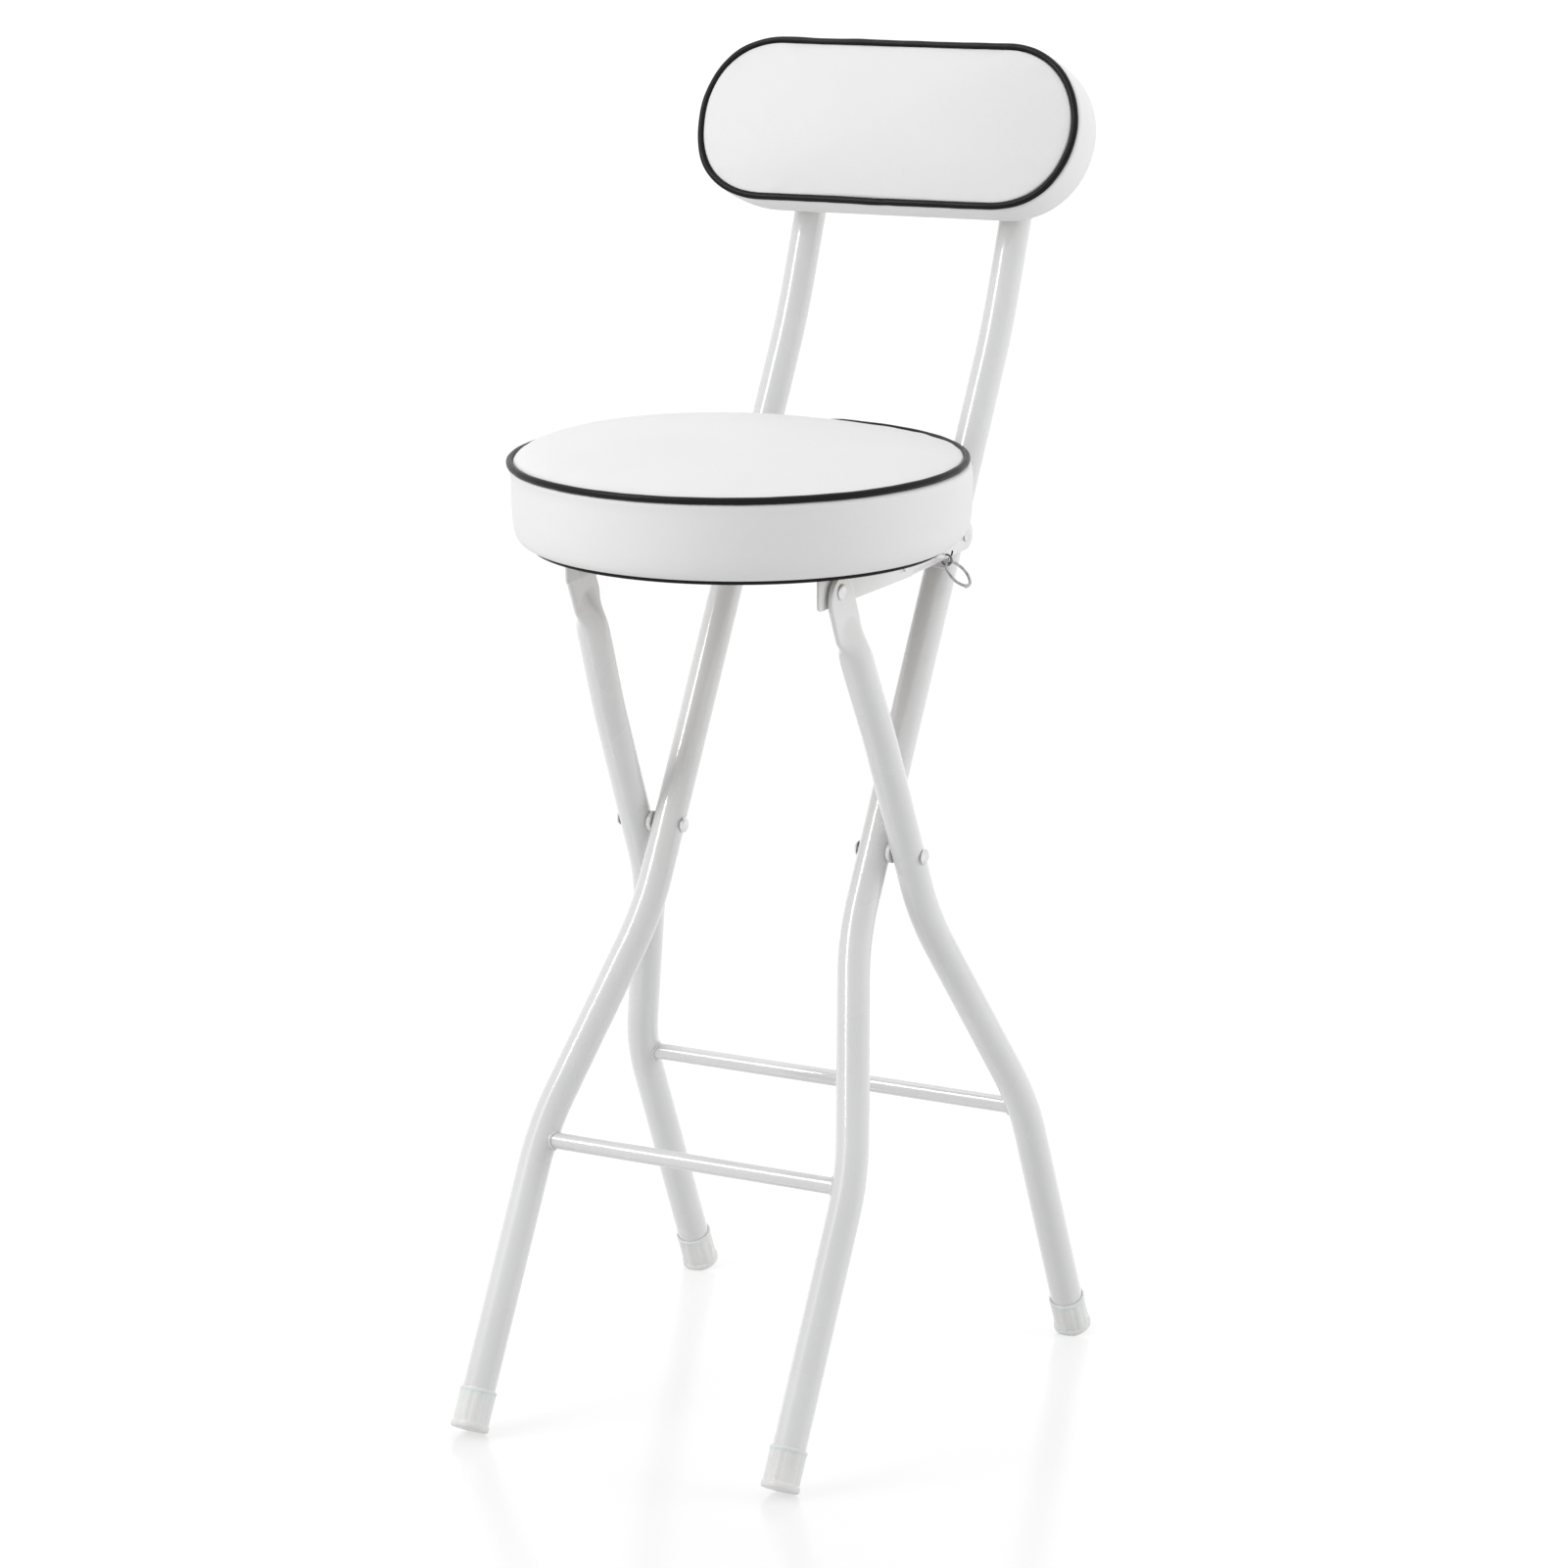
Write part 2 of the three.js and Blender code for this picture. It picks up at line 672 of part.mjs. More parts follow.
const pressedRings = [
  ...blendShares.map((share) => pressedRing(
    -plateFlatBelowPivot - plateBlendLength * (1 - share),
    THREE.MathUtils.smoothstep(share, 0, 1),
    plateHalfWidth,
  )),
  ...roundOffShares.map((share) => pressedRing(
    -plateArcBelowPivot + plateHalfWidth * share,
    1,
    plateHalfWidth * Math.sqrt(1 - share ** 2),
  )),
];
const shortTube = cut(
  loft([
    ...roundRings(shortRoute, tubeRadius - tubeWall).reverse(),
    ...roundRings(shortRoute, tubeRadius),
    ...pressedRings,
  ]),
  crossRod(scissorPivot, longOuterX, shortHighX + tubeRadius + overrun, pinHole),
  crossRod(seatPivot, railOuterX, shortHighX, pinHole),
);
placePair(shortFrame, 'short_tube', shortTube, paint);
place(shortFrame, 'rear_crossbar', crossbar(shortLowX, shortSideY, shortBarHeight, shortRoute), paint);
placePair(shortFrame, 'rear_foot', footCap(shortFoot, shortLean), capPlastic);

// Scissor pivot: a spacer between the tubes and a rivet through both
const spacerFrom = longOuterX + fit;
const spacerTo = shortPivotX - tubeRadius - fit;
placePair(
  longFrame,
  'scissor_spacer',
  ringAcross(scissorPivot, spacerFrom, spacerTo, spacerRadius, pinHole),
  capPlastic,
);
placePair(
  longFrame,
  'scissor_rivet',
  rivet(scissorPivot, longInnerX - fit, shortPivotX + tubeRadius + fit, rivetHeadRadius, rivetHeadHeight),
  steel,
);

// Seat pivot: the rivet and washer stay on the pressed tube top, a stub fills the rail's hole
const seatRivetPoints = [
  [railOuterX + fit, 0],
  [railOuterX + fit, pinRadius],
  [plateOuterX + fit, pinRadius],
  ...domePoints(plateOuterX + fit, plateOuterX + fit + flatHeadHeight, seatHeadRadius),
];
placePair(shortFrame, 'seat_rivet', turnedAcross(seatPivot, seatRivetPoints), steel);
placePair(
  shortFrame,
  'seat_washer',
  ringAcross(seatPivot, railOuterX + fit, plateInnerX - fit, washerRadius, pinHole),
  capPlastic,
);
const railStubPoints = [
  ...domePoints(railInnerX - fit, railInnerX - fit - flatHeadHeight, flatHeadRadius).reverse(),
  [railInnerX - fit, pinRadius],
  [railOuterX, pinRadius],
  [railOuterX, 0],
];
placePair(seat, 'rail_stub', turnedAcross(seatPivot, railStubPoints), steel);

// Seat cushion, piping and the thin trim round its lower edge
const seatPlace = new THREE.Group();
seatPlace.position.set(0, seatCentreY, seatPipingHeight);
seat.add(seatPlace);
const seatOutline = circleOutline(seatRadius, seatSegments);
const boardUnder = boardBottom - seatPipingHeight;
const boardOver = boardUnder + boardThickness;
const recessInset = -boardInset + fit;
const seatProfile = [
  ...cushionProfile({
    inset: seatRadius,
    crown: seatCrown,
    sideDepth: seatDepth - seatRoundDepth,
    roundInset: seatRoundInset,
    roundDepth: seatRoundDepth,
    grooveSteps: 5,
    roundSteps: 5,
  }),
  [recessInset, -seatDepth],
  [recessInset, boardOver + fit],
];
place(seatPlace, 'seat_pad', profileLoft(seatOutline, seatProfile), vinyl);
place(seatPlace, 'seat_piping', pipingLoop(seatOutline), blackVinyl);

const trimTop = -seatDepth - fit;
const trimBase = -seatDepth - boardProud;
const trimRing = loft([
  seatOutline(-seatRoundInset, trimTop),
  seatOutline(-seatRoundInset, trimBase),
  seatOutline(-seatRoundInset - trimWidth + fit, trimBase),
  seatOutline(-seatRoundInset - trimWidth + fit, trimTop),
], true);
place(seatPlace, 'seat_edge_trim', trimRing, blackVinyl);

// Seat board with blind holes for the rail screws
const boardRadius = seatRadius - boardInset;
const flangeOuterX = railOuterX + flangeWidth;
const railScrewX = railOuterX + railScrewOut;
const flangeFrontY = seatPivotY + flangeBehindPivot;
const flangeRearY = seatCentreY + Math.sqrt(boardRadius ** 2 - railScrewX ** 2) - flangeWithinBoard;
const railScrewPlaces = [
  flangeFrontY + railScrewInset,
  (flangeFrontY + flangeRearY) / 2,
  flangeRearY - railScrewInset,
];
const boardBlank = profileLoft(circleOutline(boardRadius, seatSegments), [
  [0, boardOver],
  [0, boardUnder],
]).translate(0, seatCentreY, seatPipingHeight);
const boardHoles = [1, -1].flatMap((way) => railScrewPlaces.map((y) => rod(
  new THREE.Vector3(way * railScrewX, y, boardBottom - overrun),
  new THREE.Vector3(way * railScrewX, y, boardBottom + screwBite + fit),
  screwRadius + fit,
  barSides / 2,
)));
place(seat, 'seat_board', cut(boardBlank, ...boardHoles), boardWood);

// Seat rails: a pressed web with a flange screwed to the board
const railTop = boardBottom - fit;
const railBottom = seatPivotHeight - railBelowPivot;
const railFrontY = seatPivotY - railAheadOfPivot;
const railShape = new THREE.Shape();
const railEndDrop = linkSeatPivotHeight - railBottom;
const railEndRadius = railEndDrop + railEndLip;
const railEndTurn = Math.asin(railEndDrop / railEndRadius);
railShape.moveTo(railFrontY, railTop);
railShape.lineTo(railFrontY, railBottom + railCorner);
railShape.absarc(railFrontY + railCorner, railBottom + railCorner, railCorner, Math.PI, 1.5 * Math.PI, false);
railShape.lineTo(linkSeatPivotY + railEndRadius * Math.cos(railEndTurn), railBottom);
railShape.absarc(linkSeatPivotY, linkSeatPivotHeight, railEndRadius, -railEndTurn, 0, false);
railShape.lineTo(flangeRearY, railTop - sheet);
railShape.lineTo(flangeRearY, railTop);
railShape.closePath();

const flangeShape = new THREE.Shape();
flangeShape.moveTo(railInnerX, flangeFrontY);
flangeShape.lineTo(flangeOuterX - flangeCorner, flangeFrontY);
flangeShape.lineTo(flangeOuterX, flangeFrontY + flangeCorner);
flangeShape.lineTo(flangeOuterX, flangeRearY - flangeCorner);
flangeShape.lineTo(flangeOuterX - flangeCorner, flangeRearY);
flangeShape.lineTo(railInnerX, flangeRearY);
flangeShape.closePath();
railScrewPlaces.forEach((y) => {
  const hole = new THREE.Path();
  hole.absarc(railScrewX, y, screwRadius + fit, 0, 2 * Math.PI, false);
  flangeShape.holes.push(hole);
});
const flange = new THREE.ExtrudeGeometry(flangeShape, { depth: sheet, bevelEnabled: false, curveSegments: 5 });
flange.translate(0, 0, railTop - sheet);
const rail = cut(
  join(sidePlate(railShape, railInnerX, sheet), flange),
  crossRod(seatPivot, railInnerX - overrun, railOuterX + overrun, pinHole),
  crossRod(linkSeatPivot, railInnerX - overrun, railOuterX + overrun, pinHole),
);
placePair(seat, 'seat_rail', rail, paint);

const railScrewHead = railTop - sheet - fit;
const railScrew = screw(boardBottom + screwBite - railScrewHead);
railScrewPlaces.forEach((y, k) => {
  const geometry = railScrew.clone().translate(railScrewX, y, railScrewHead);
  placePair(seat, `rail_screw_${k + 1}`, geometry, steel);
});
placePair(
  seat,
  'link_pin',
  rivet(linkSeatPivot, linkInnerX - fit, railOuterX + fit, flatHeadRadius, flatHeadHeight),
  steel,
);

// Fold links: a flat bar between two lobes, with a stop bent inward in front of the back tube
const linkAlong = linkRearPivot.clone().sub(linkSeatPivot);
const linkTurn = Math.atan2(linkAlong.z, linkAlong.y);
const linkShape = new THREE.Shape();
linkShape.absarc(linkRearPivot.y, linkRearPivot.z, linkLobe, linkTurn - Math.PI / 2, linkTurn + Math.PI / 2, false);
linkShape.absarc(linkSeatPivot.y, linkSeatPivot.z, linkLobe, linkTurn + Math.PI / 2, linkTurn + 1.5 * Math.PI, false);
linkShape.closePath();

// The stop's section: x across the stool, y ahead of the back tube's axis.
const stopInnerFace = tubeRadius + fit;
const stopOuterFace = stopInnerFace + sheet;
const stopShape = new THREE.Shape();
stopShape.moveTo(longHighX - stopInset, stopInnerFace);
stopShape.lineTo(linkOuterX - stopBend, stopInnerFace);
stopShape.absarc(linkOuterX - stopBend, stopInnerFace + stopBend, stopBend, -Math.PI / 2, 0, false);
stopShape.lineTo(linkOuterX, stopReach);
stopShape.lineTo(linkInnerX, stopReach);
stopShape.lineTo(linkInnerX, stopInnerFace + stopBend);
stopShape.absarc(linkOuterX - stopBend, stopInnerFace + stopBend, stopBend - sheet, 0, -Math.PI / 2, true);
stopShape.lineTo(longHighX - stopInset, stopOuterFace);
stopShape.closePath();
const stop = new THREE.ExtrudeGeometry(stopShape, {
  depth: stopEnd - stopStart, bevelEnabled: false, curveSegments: 4,
});
const longUp = new THREE.Vector3(0, Math.sin(longLean), Math.cos(longLean));
const longFront = new THREE.Vector3(0, -Math.cos(longLean), Math.sin(longLean));
const stopFrame = new THREE.Matrix4().makeBasis(acrossAxis, longFront, longUp.clone());
stop.applyMatrix4(stopFrame);
const stopPlace = linkRearPivot.clone().addScaledVector(longUp, stopStart);
stop.translate(stopPlace.x, stopPlace.y, stopPlace.z);
const link = cut(
  join(sidePlate(linkShape, linkInnerX, sheet), facingOut(mergeVertices(stop))),
  crossRod(linkRearPivot, linkInnerX - overrun, linkOuterX + overrun, pinHole),
  crossRod(linkSeatPivot, linkInnerX - overrun, linkOuterX + overrun, pinHole),
);
const eyeY = linkRearPivotY - eyeAheadOfPivot;
const eyeEdgeHeight = linkSeatPivotHeight + Math.tan(linkTurn) * (eyeY - linkSeatPivotY)
  - linkLobe / Math.cos(linkTurn);
const eyeHole = new THREE.Vector3(linkInnerX + sheet / 2, eyeY, eyeEdgeHeight + eyeHoleAboveEdge);
const linkWithEye = cut(link, crossRod(eyeHole, linkInnerX - overrun, linkOuterX + overrun, eyeHoleRadius));
place(foldLinks, 'fold_link_right', linkWithEye, paint);
place(foldLinks, 'fold_link_left', mirrored(link), paint);
placePair(
  longFrame,
  'link_rivet',
  rivet(linkRearPivot, longInnerX - fit, linkOuterX + fit, flatHeadRadius, flatHeadHeight),
  steel,
);

// Wire eye round the link's lower edge, and the pull ring that swings in it
function wireRing(radius, wire) {
  return new THREE.TorusGeometry(radius, wire, wireSides, ringSteps);
}
function wireRingSolid(radius, wire) {
  const turned = wireRing(radius, wire);
  return facingOut(mergeVertices(turned.deleteAttribute('normal').deleteAttribute('uv')));
}
const eyeOut = new THREE.Vector3(Math.sin(eyeLean), 0, -Math.cos(eyeLean));
const eyeCentre = eyeHole.clone().addScaledVector(eyeOut, eyeRadius);
const eye = wireRingSolid(eyeRadius, eyeWire).rotateX(Math.PI / 2);
place(foldLinks, 'ring_eye', eye.translate(eyeCentre.x, eyeCentre.y, eyeCentre.z), darkSteel);

const ringOut = new THREE.Vector3(Math.sin(ringLean), 0, -Math.cos(ringLean));
const ringHang = eyeCentre.clone().addScaledVector(ringOut, eyeRadius - eyeWire - ringWire - fit);
const ringCentre = ringHang.clone().addScaledVector(ringOut, ringRadius);
const ring = wireRingSolid(ringRadius, ringWire).rotateY(Math.PI / 2 - ringLean);
place(pullRing, 'pull_ring', ring.translate(ringCentre.x, ringCentre.y, ringCentre.z), darkSteel);

// The origin is the middle of the footprint on the floor.
const extent = new THREE.Box3().setFromObject(stool, true);
stool.position.y = -(extent.min.y + extent.max.y) / 2;

export default stool;
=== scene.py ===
"""Folding bar stool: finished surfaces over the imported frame. The frame is in metres, sizes here in mm."""

import math

import bmesh
import bpy
import numpy as np
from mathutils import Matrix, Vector


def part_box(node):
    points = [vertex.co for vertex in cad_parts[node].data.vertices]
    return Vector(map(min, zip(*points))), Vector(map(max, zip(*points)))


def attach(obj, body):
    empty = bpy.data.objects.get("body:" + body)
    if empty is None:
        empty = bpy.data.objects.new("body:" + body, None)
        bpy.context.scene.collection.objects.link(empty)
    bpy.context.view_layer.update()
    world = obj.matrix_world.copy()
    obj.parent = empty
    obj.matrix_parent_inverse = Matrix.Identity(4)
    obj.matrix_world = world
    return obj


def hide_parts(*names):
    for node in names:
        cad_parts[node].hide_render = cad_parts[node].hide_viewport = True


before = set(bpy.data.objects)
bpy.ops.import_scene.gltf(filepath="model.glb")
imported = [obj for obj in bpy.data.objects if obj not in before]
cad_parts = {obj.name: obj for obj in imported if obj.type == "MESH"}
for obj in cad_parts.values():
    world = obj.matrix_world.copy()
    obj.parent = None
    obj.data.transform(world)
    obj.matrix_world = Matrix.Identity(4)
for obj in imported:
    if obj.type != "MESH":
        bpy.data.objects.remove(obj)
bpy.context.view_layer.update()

MM = 0.001
SIDES = {"right": 1, "left": -1}

# Clearances, fasteners and sheet parts: a head is its radius and its height
fit = 0.3
pin_radius = 3.0
rivet_head = (6.0, 3.0)
flat_head = (5.0, 1.8)
seat_head = (6.0, 1.8)
screw_radius = 2.0
screw_head = (4.0, 2.2)
screw_bite = 7.0
spacer_radius = 8.0
washer_radius = 9.0
sheet = 2.0
sheet_bevel = 0.4
bend_outer = 3.0
bend_inner = bend_outer - sheet

# Seat cushion, board and trim
seat_ahead_of_tube = 26.11
seat_radius = 172.0
seat_crown = 24.0
seat_depth = 62.0
seat_round_depth = 20.5
seat_round_inset = 16.8
side_swell = 0.8
board_radius = 151.9
board_thickness = 9.5
board_proud = 2.0
trim_width = 3.2
piping_radius = 2.7

# Pivots in the side view
seat_pivot = np.array([-121.0, 649.4])
link_rear_pivot = np.array([101.66, 652.1])
link_seat_pivot = np.array([-5.0, 648.0])
board_bottom = 667.5
seat_height = board_bottom + board_proud + seat_depth

# Long frame
tube_radius = 12.5
long_foot_y = -259.28
long_slope = (link_rear_pivot[0] - long_foot_y) / link_rear_pivot[1]
long_high_x = seat_radius * 0.51686
long_low_x = long_high_x + 43.8
top_bend = link_rear_pivot[1] + 146.5
top_slope = 0.384
bend_reach = 30.0
bar_radius = 6.35

# Short frame
short_foot_y = 174.48
short_slope = (seat_pivot[0] - short_foot_y) / seat_pivot[1]
short_draw_in = -0.0223
short_pivot_x = long_high_x + 2 * tube_radius + 3.82
short_bend_drop = 53.0
short_high_x = short_pivot_x - short_draw_in * short_bend_drop
short_low_x = short_high_x + 50.5
scissor_z = (short_foot_y - long_foot_y) / (long_slope - short_slope)
scissor_pivot = np.array([long_foot_y + long_slope * scissor_z, scissor_z])
long_bend_drop = 60.9
long_spread = (scissor_z - long_bend_drop - 156.4, scissor_z - long_bend_drop)
short_spread = (scissor_z - short_bend_drop - 159.4, scissor_z - short_bend_drop)
long_bar_z = long_spread[0] - 8.0
short_bar_z = short_spread[0] - 6.0

# Sheet parts between the frames
link_inner_x = long_high_x + tube_radius + 0.5
link_outer_x = link_inner_x + sheet
rail_inner_x = link_outer_x + fit
rail_outer_x = rail_inner_x + sheet
plate_inner_x = rail_outer_x + 1.7
plate_half_thickness = 2.0
plate_x = plate_inner_x + plate_half_thickness
plate_outer_x = plate_x + plate_half_thickness
plate_half_width = 18.2
rail_bottom = seat_pivot[1] - 11.4
rail_top = board_bottom - fit
link_lobe = 11.0

# Where the short tube leans to its pressed top: how far below the pivot it starts, its run and its share
lean_drop = 130.0
lean_run = 95.0
lean_share = 0.7

# Seat and backrest places
seat_y = link_rear_pivot[0] - seat_ahead_of_tube - math.sqrt(seat_radius ** 2 - long_high_x ** 2)
back_size = (324.4, 130.1)
back_depth = 48.7
back_round = 16.0
back_crown = 14.0
back_board_thickness = 10.0
back_z = top_bend + 156.4
back_screw_rise = back_size[1] * 0.3843 / 2
back_lean = math.atan(top_slope)
back_up = np.array([0.0, math.sin(back_lean), math.cos(back_lean)])
back_front = np.array([0.0, -math.cos(back_lean), math.sin(back_lean)])

pad_low, pad_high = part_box("seat_pad")
shift_y = (pad_low.y + pad_high.y) / 2 / MM - seat_y


def metres(points):
    """Points in the stool's own millimetres as metres in the record's frame."""
    out = np.array(points, float)
    out[..., 1] += shift_y
    return out * MM


def long_y(z):
    """The long frame's axis in the side view: y = foot + slope z."""
    return long_foot_y + long_slope * z


def short_y(z):
    """The short frame's axis in the side view: y = foot + slope z."""
    return short_foot_y + short_slope * z


def short_x(z):
    """The short tube's distance from the middle, drawn in a little with height: x = x0 + draw (z - z0)."""
    return short_pivot_x + short_draw_in * (z - scissor_z)


def short_top_x(z):
    """The tube leans to its plate: x + share (plate - x) s^2 (3 - 2s), s from 0 to 1 over the run."""
    step = np.clip((z - seat_pivot[1] + lean_drop) / lean_run, 0, 1)
    return short_x(z) + (plate_x - short_x(z)) * lean_share * step * step * (3 - 2 * step)


# Material nodes
def set_inputs(tree, node, inputs):
    """Give each named or numbered socket its value, or the link of a field."""
    for key, value in inputs.items():
        if isinstance(value, Field):
            tree.links.new(value.socket, node.inputs[key])
        else:
            node.inputs[key].default_value = value


def add_node(tree, kind, settings, inputs, output=0):
    """A shader node: its settings first, then its sockets. The result is one of its outputs as a field."""
    node = tree.nodes.new(kind)
    for key, value in settings.items():
        setattr(node, key, value)
    set_inputs(tree, node, inputs)
    return Field(tree, node.outputs[output])


class Field:
    """A socket of a node tree, with arithmetic that adds Math nodes."""

    def __init__(self, tree, socket):
        self.tree = tree
        self.socket = socket

    def math(self, operation, first, second):
        return add_node(self.tree, "ShaderNodeMath", {"operation": operation}, {0: first, 1: second})

    def __add__(self, other):
        return self.math("ADD", self, other)

    def __radd__(self, other):
        return self.math("ADD", other, self)

    def __sub__(self, other):
        return self.math("SUBTRACT", self, other)

    def __rsub__(self, other):
        return self.math("SUBTRACT", other, self)

    def __mul__(self, other):
        return self.math("MULTIPLY", self, other)

    def __rmul__(self, other):
        return self.math("MULTIPLY", other, self)

    def lowest(self, other):
        return self.math("MINIMUM", self, other)

    def highest(self, other):
        return self.math("MAXIMUM", self, other)

    def span(self, low, high, out_low=0.0, out_high=1.0):
        """The value mapped by a smooth step from low..high to out_low..out_high."""
        inputs = {0: self, 1: low, 2: high, 3: out_low, 4: out_high}
        return add_node(self.tree, "ShaderNodeMapRange", {"interpolation_type": "SMOOTHSTEP"}, inputs)


class Finish:
    """A Principled material whose varying inputs come from fields over the object's own coordinates."""

    def __init__(self, name, color, roughness, **constants):
        self.material = bpy.data.materials.new(name)
        self.material.use_nodes = True
        self.material.diffuse_color = (*color, 1.0)
        self.tree = self.material.node_tree
        self.shader = self.tree.nodes["Principled BSDF"]
        set_inputs(self.tree, self.shader, {"Base Color": (*color, 1.0), "Roughness": roughness})
        set_inputs(self.tree, self.shader, {key.replace("_", " "): value for key, value in constants.items()})
        self.place = self.node("ShaderNodeTexCoord", {}, {}, "Object")

    def node(self, kind, settings, inputs, output=0):
        return add_node(self.tree, kind, settings, inputs, output)

    def stretched(self, scale):
        """The object's coordinates, scaled by axis."""
        return self.node("ShaderNodeMapping", {}, {"Vector": self.place, "Scale": scale})

    def noise(self, scale, detail, rough=0.5, place=None):
        inputs = {"Vector": place or self.place, "Scale": scale, "Detail": detail, "Roughness": rough}
        return self.node("ShaderNodeTexNoise", {}, inputs)

    def cells(self, scale, feature="F1"):
        """The distance in a pattern of cells, to their centres or to their edges."""
        inputs = {"Vector": self.place, "Scale": scale}
        return self.node("ShaderNodeTexVoronoi", {"feature": feature}, inputs, "Distance")

    def distance_to(self, point):
        inputs = {0: self.place, 1: point}
        return self.node("ShaderNodeVectorMath", {"operation": "DISTANCE"}, inputs, "Value")

    def mix(self, factor, first, second):
        """A colour between two. The Mix node's colours are its sockets 6 and 7, and its output 2."""
        first = (*first, 1.0) if isinstance(first, tuple) else first
        inputs = {"Factor": factor, 6: first, 7: (*second, 1.0)}
        return self.node("ShaderNodeMix", {"data_type": "RGBA"}, inputs, 2)

    def finish(self, color, roughness, *layers):
        """Link colour, roughness and bump. Each bump layer is a field and its depth in metres."""
        normal = {}
        for field, depth in layers:
            inputs = {"Distance": depth, "Height": field, **normal}
            normal = {"Normal": self.node("ShaderNodeBump", {}, inputs)}
        set_inputs(self.tree, self.shader, {"Base Color": color, "Roughness": roughness, **normal})
        return self.material


# Where the paint is rubbed: how far out from the middle its marks lie, and how far they reach in metres
tube_rub_x = 103.0
plate_rub_x = 109.0
rub_reach = (0.016, 0.007)


def side_points(pivot, x):
    """A pivot of the side view on both sides of the stool, in metres."""
    return [tuple(metres([way * x, *pivot])) for way in SIDES.values()]


def make_paint():
    """White enamel: faint orange peel, and a dull rub mark round each pivot."""
    paint = Finish("paint", (0.74, 0.742, 0.742), 0.3, Coat_Weight=1.0, Coat_Roughness=0.03, Coat_IOR=1.5)
    drift = paint.noise(9.0, 3.0)
    peel = paint.noise(520.0, 1.0)
    grit = paint.noise(2600.0, 2.0)
    spots = side_points(scissor_pivot, tube_rub_x) + side_points(seat_pivot, plate_rub_x)
    spots += side_points(link_rear_pivot, tube_rub_x)
    near = paint.distance_to(spots[0])
    for spot in spots[1:]:
        near = near.lowest(paint.distance_to(spot))
    rub = near.span(*rub_reach) * paint.noise(380.0, 4.0).span(0.5, 0.68)
    clean = paint.mix(drift.span(0.35, 0.65), (0.725, 0.728, 0.728), (0.75, 0.753, 0.753))
    color = paint.mix(rub * 0.12, clean, (0.5, 0.5, 0.5))
    roughness = drift.span(0.3, 0.7, 0.24, 0.32) + rub * 0.15
    return paint.finish(color, roughness, (peel, 0.00003), (grit, 0.000006))


def make_vinyl(name, low, high, grain_depth, rough, shine):
    """Coated vinyl: small leather cells with finer pores, and a slow drift of tone."""
    cover = Finish(name, high, rough, Specular_IOR_Level=shine)
    drift = cover.noise(7.0, 2.0)
    pores = cover.noise(2400.0, 2.0)
    folds = cover.noise(120.0, 3.0)
    valleys = cover.cells(620.0, "DISTANCE_TO_EDGE").span(0.0, 0.22)
    color = cover.mix(drift.span(0.3, 0.7) * 0.7 + valleys * 0.3, low, high)
    roughness = valleys.span(0.0, 1.0, rough + 0.1, rough) + folds.span(0.35, 0.65, 0.0, 0.05)
    layers = (valleys, grain_depth), (pores, grain_depth * 0.4), (folds, grain_depth * 2.0)
    return cover.finish(color, roughness, *layers)


def make_cap_plastic():
    """Milky moulded plastic with flow marks and scuffs near the floor."""
    plastic = Finish("cap_plastic", (0.80, 0.81, 0.80), 0.32, Subsurface_Weight=0.25, Subsurface_Scale=0.004)
    flow = plastic.noise(60.0, 3.0, place=plastic.stretched((1.0, 1.0, 0.25)))
    scratch = plastic.noise(900.0, 2.0, place=plastic.stretched((1.0, 1.0, 0.2)))
    low = plastic.node("ShaderNodeSeparateXYZ", {}, {0: plastic.place}, "Z").span(0.009, 0.0)
    scuff = low * plastic.noise(420.0, 3.0).span(0.45, 0.7)
    clean = plastic.mix(flow.span(0.3, 0.7), (0.77, 0.78, 0.77), (0.83, 0.835, 0.83))
    color = plastic.mix(scuff * 0.5, clean, (0.45, 0.45, 0.43))
    roughness = flow.span(0.3, 0.7, 0.24, 0.36) + scuff * 0.3
    return plastic.finish(color, roughness, (scratch, 0.00002), (flow, 0.00004))


def make_plated(name, dull, bright, rough):
    """Plated steel with fine polishing marks and a slight clouding."""
    steel = Finish(name, bright, rough, Metallic=1.0)
    cloud = steel.noise(260.0, 3.0)
    marks = steel.noise(1500.0, 2.0, place=steel.stretched((0.3, 1.0, 1.0)))
    color = steel.mix(cloud.span(0.35, 0.7), dull, bright)
    roughness = cloud.span(0.3, 0.7, rough, rough + 0.12) + marks * 0.06
    return steel.finish(color, roughness, (marks, 0.000012), (cloud, 0.00002))


def make_board():
    """Bare pressed board: pale streaked fibres."""
    board = Finish("board", (0.42, 0.36, 0.30), 0.72)
    streaks = board.noise(90.0, 5.0, 0.6, board.stretched((0.12, 1.0, 1.0)))
    flakes = board.cells(260.0)
    tone = streaks.span(0.35, 0.7) * 0.8 + flakes * 0.2
    color = board.mix(tone, (0.30, 0.255, 0.21), (0.50, 0.435, 0.37))
    roughness = streaks.span(0.3, 0.7, 0.62, 0.82)
    return board.finish(color, roughness, (streaks, 0.00012), (flakes, 0.00008))


paint = make_paint()
vinyl = make_vinyl("vinyl", (0.835, 0.835, 0.835), (0.86, 0.86, 0.86), 0.000035, 0.5, 0.3)
black_vinyl = make_vinyl("black_vinyl", (0.004, 0.004, 0.004), (0.009, 0.009, 0.009), 0.00004, 0.3, 0.16)
cap_plastic = make_cap_plastic()
plated = make_plated("plated", (0.72, 0.72, 0.73), (0.86, 0.86, 0.87), 0.34)
dark_wire = make_plated("dark_wire", (0.10, 0.10, 0.105), (0.26, 0.26, 0.27), 0.28)
ring_steel = make_plated("ring_steel", (0.34, 0.34, 0.345), (0.56, 0.56, 0.57), 0.3)
board_finish = make_board()


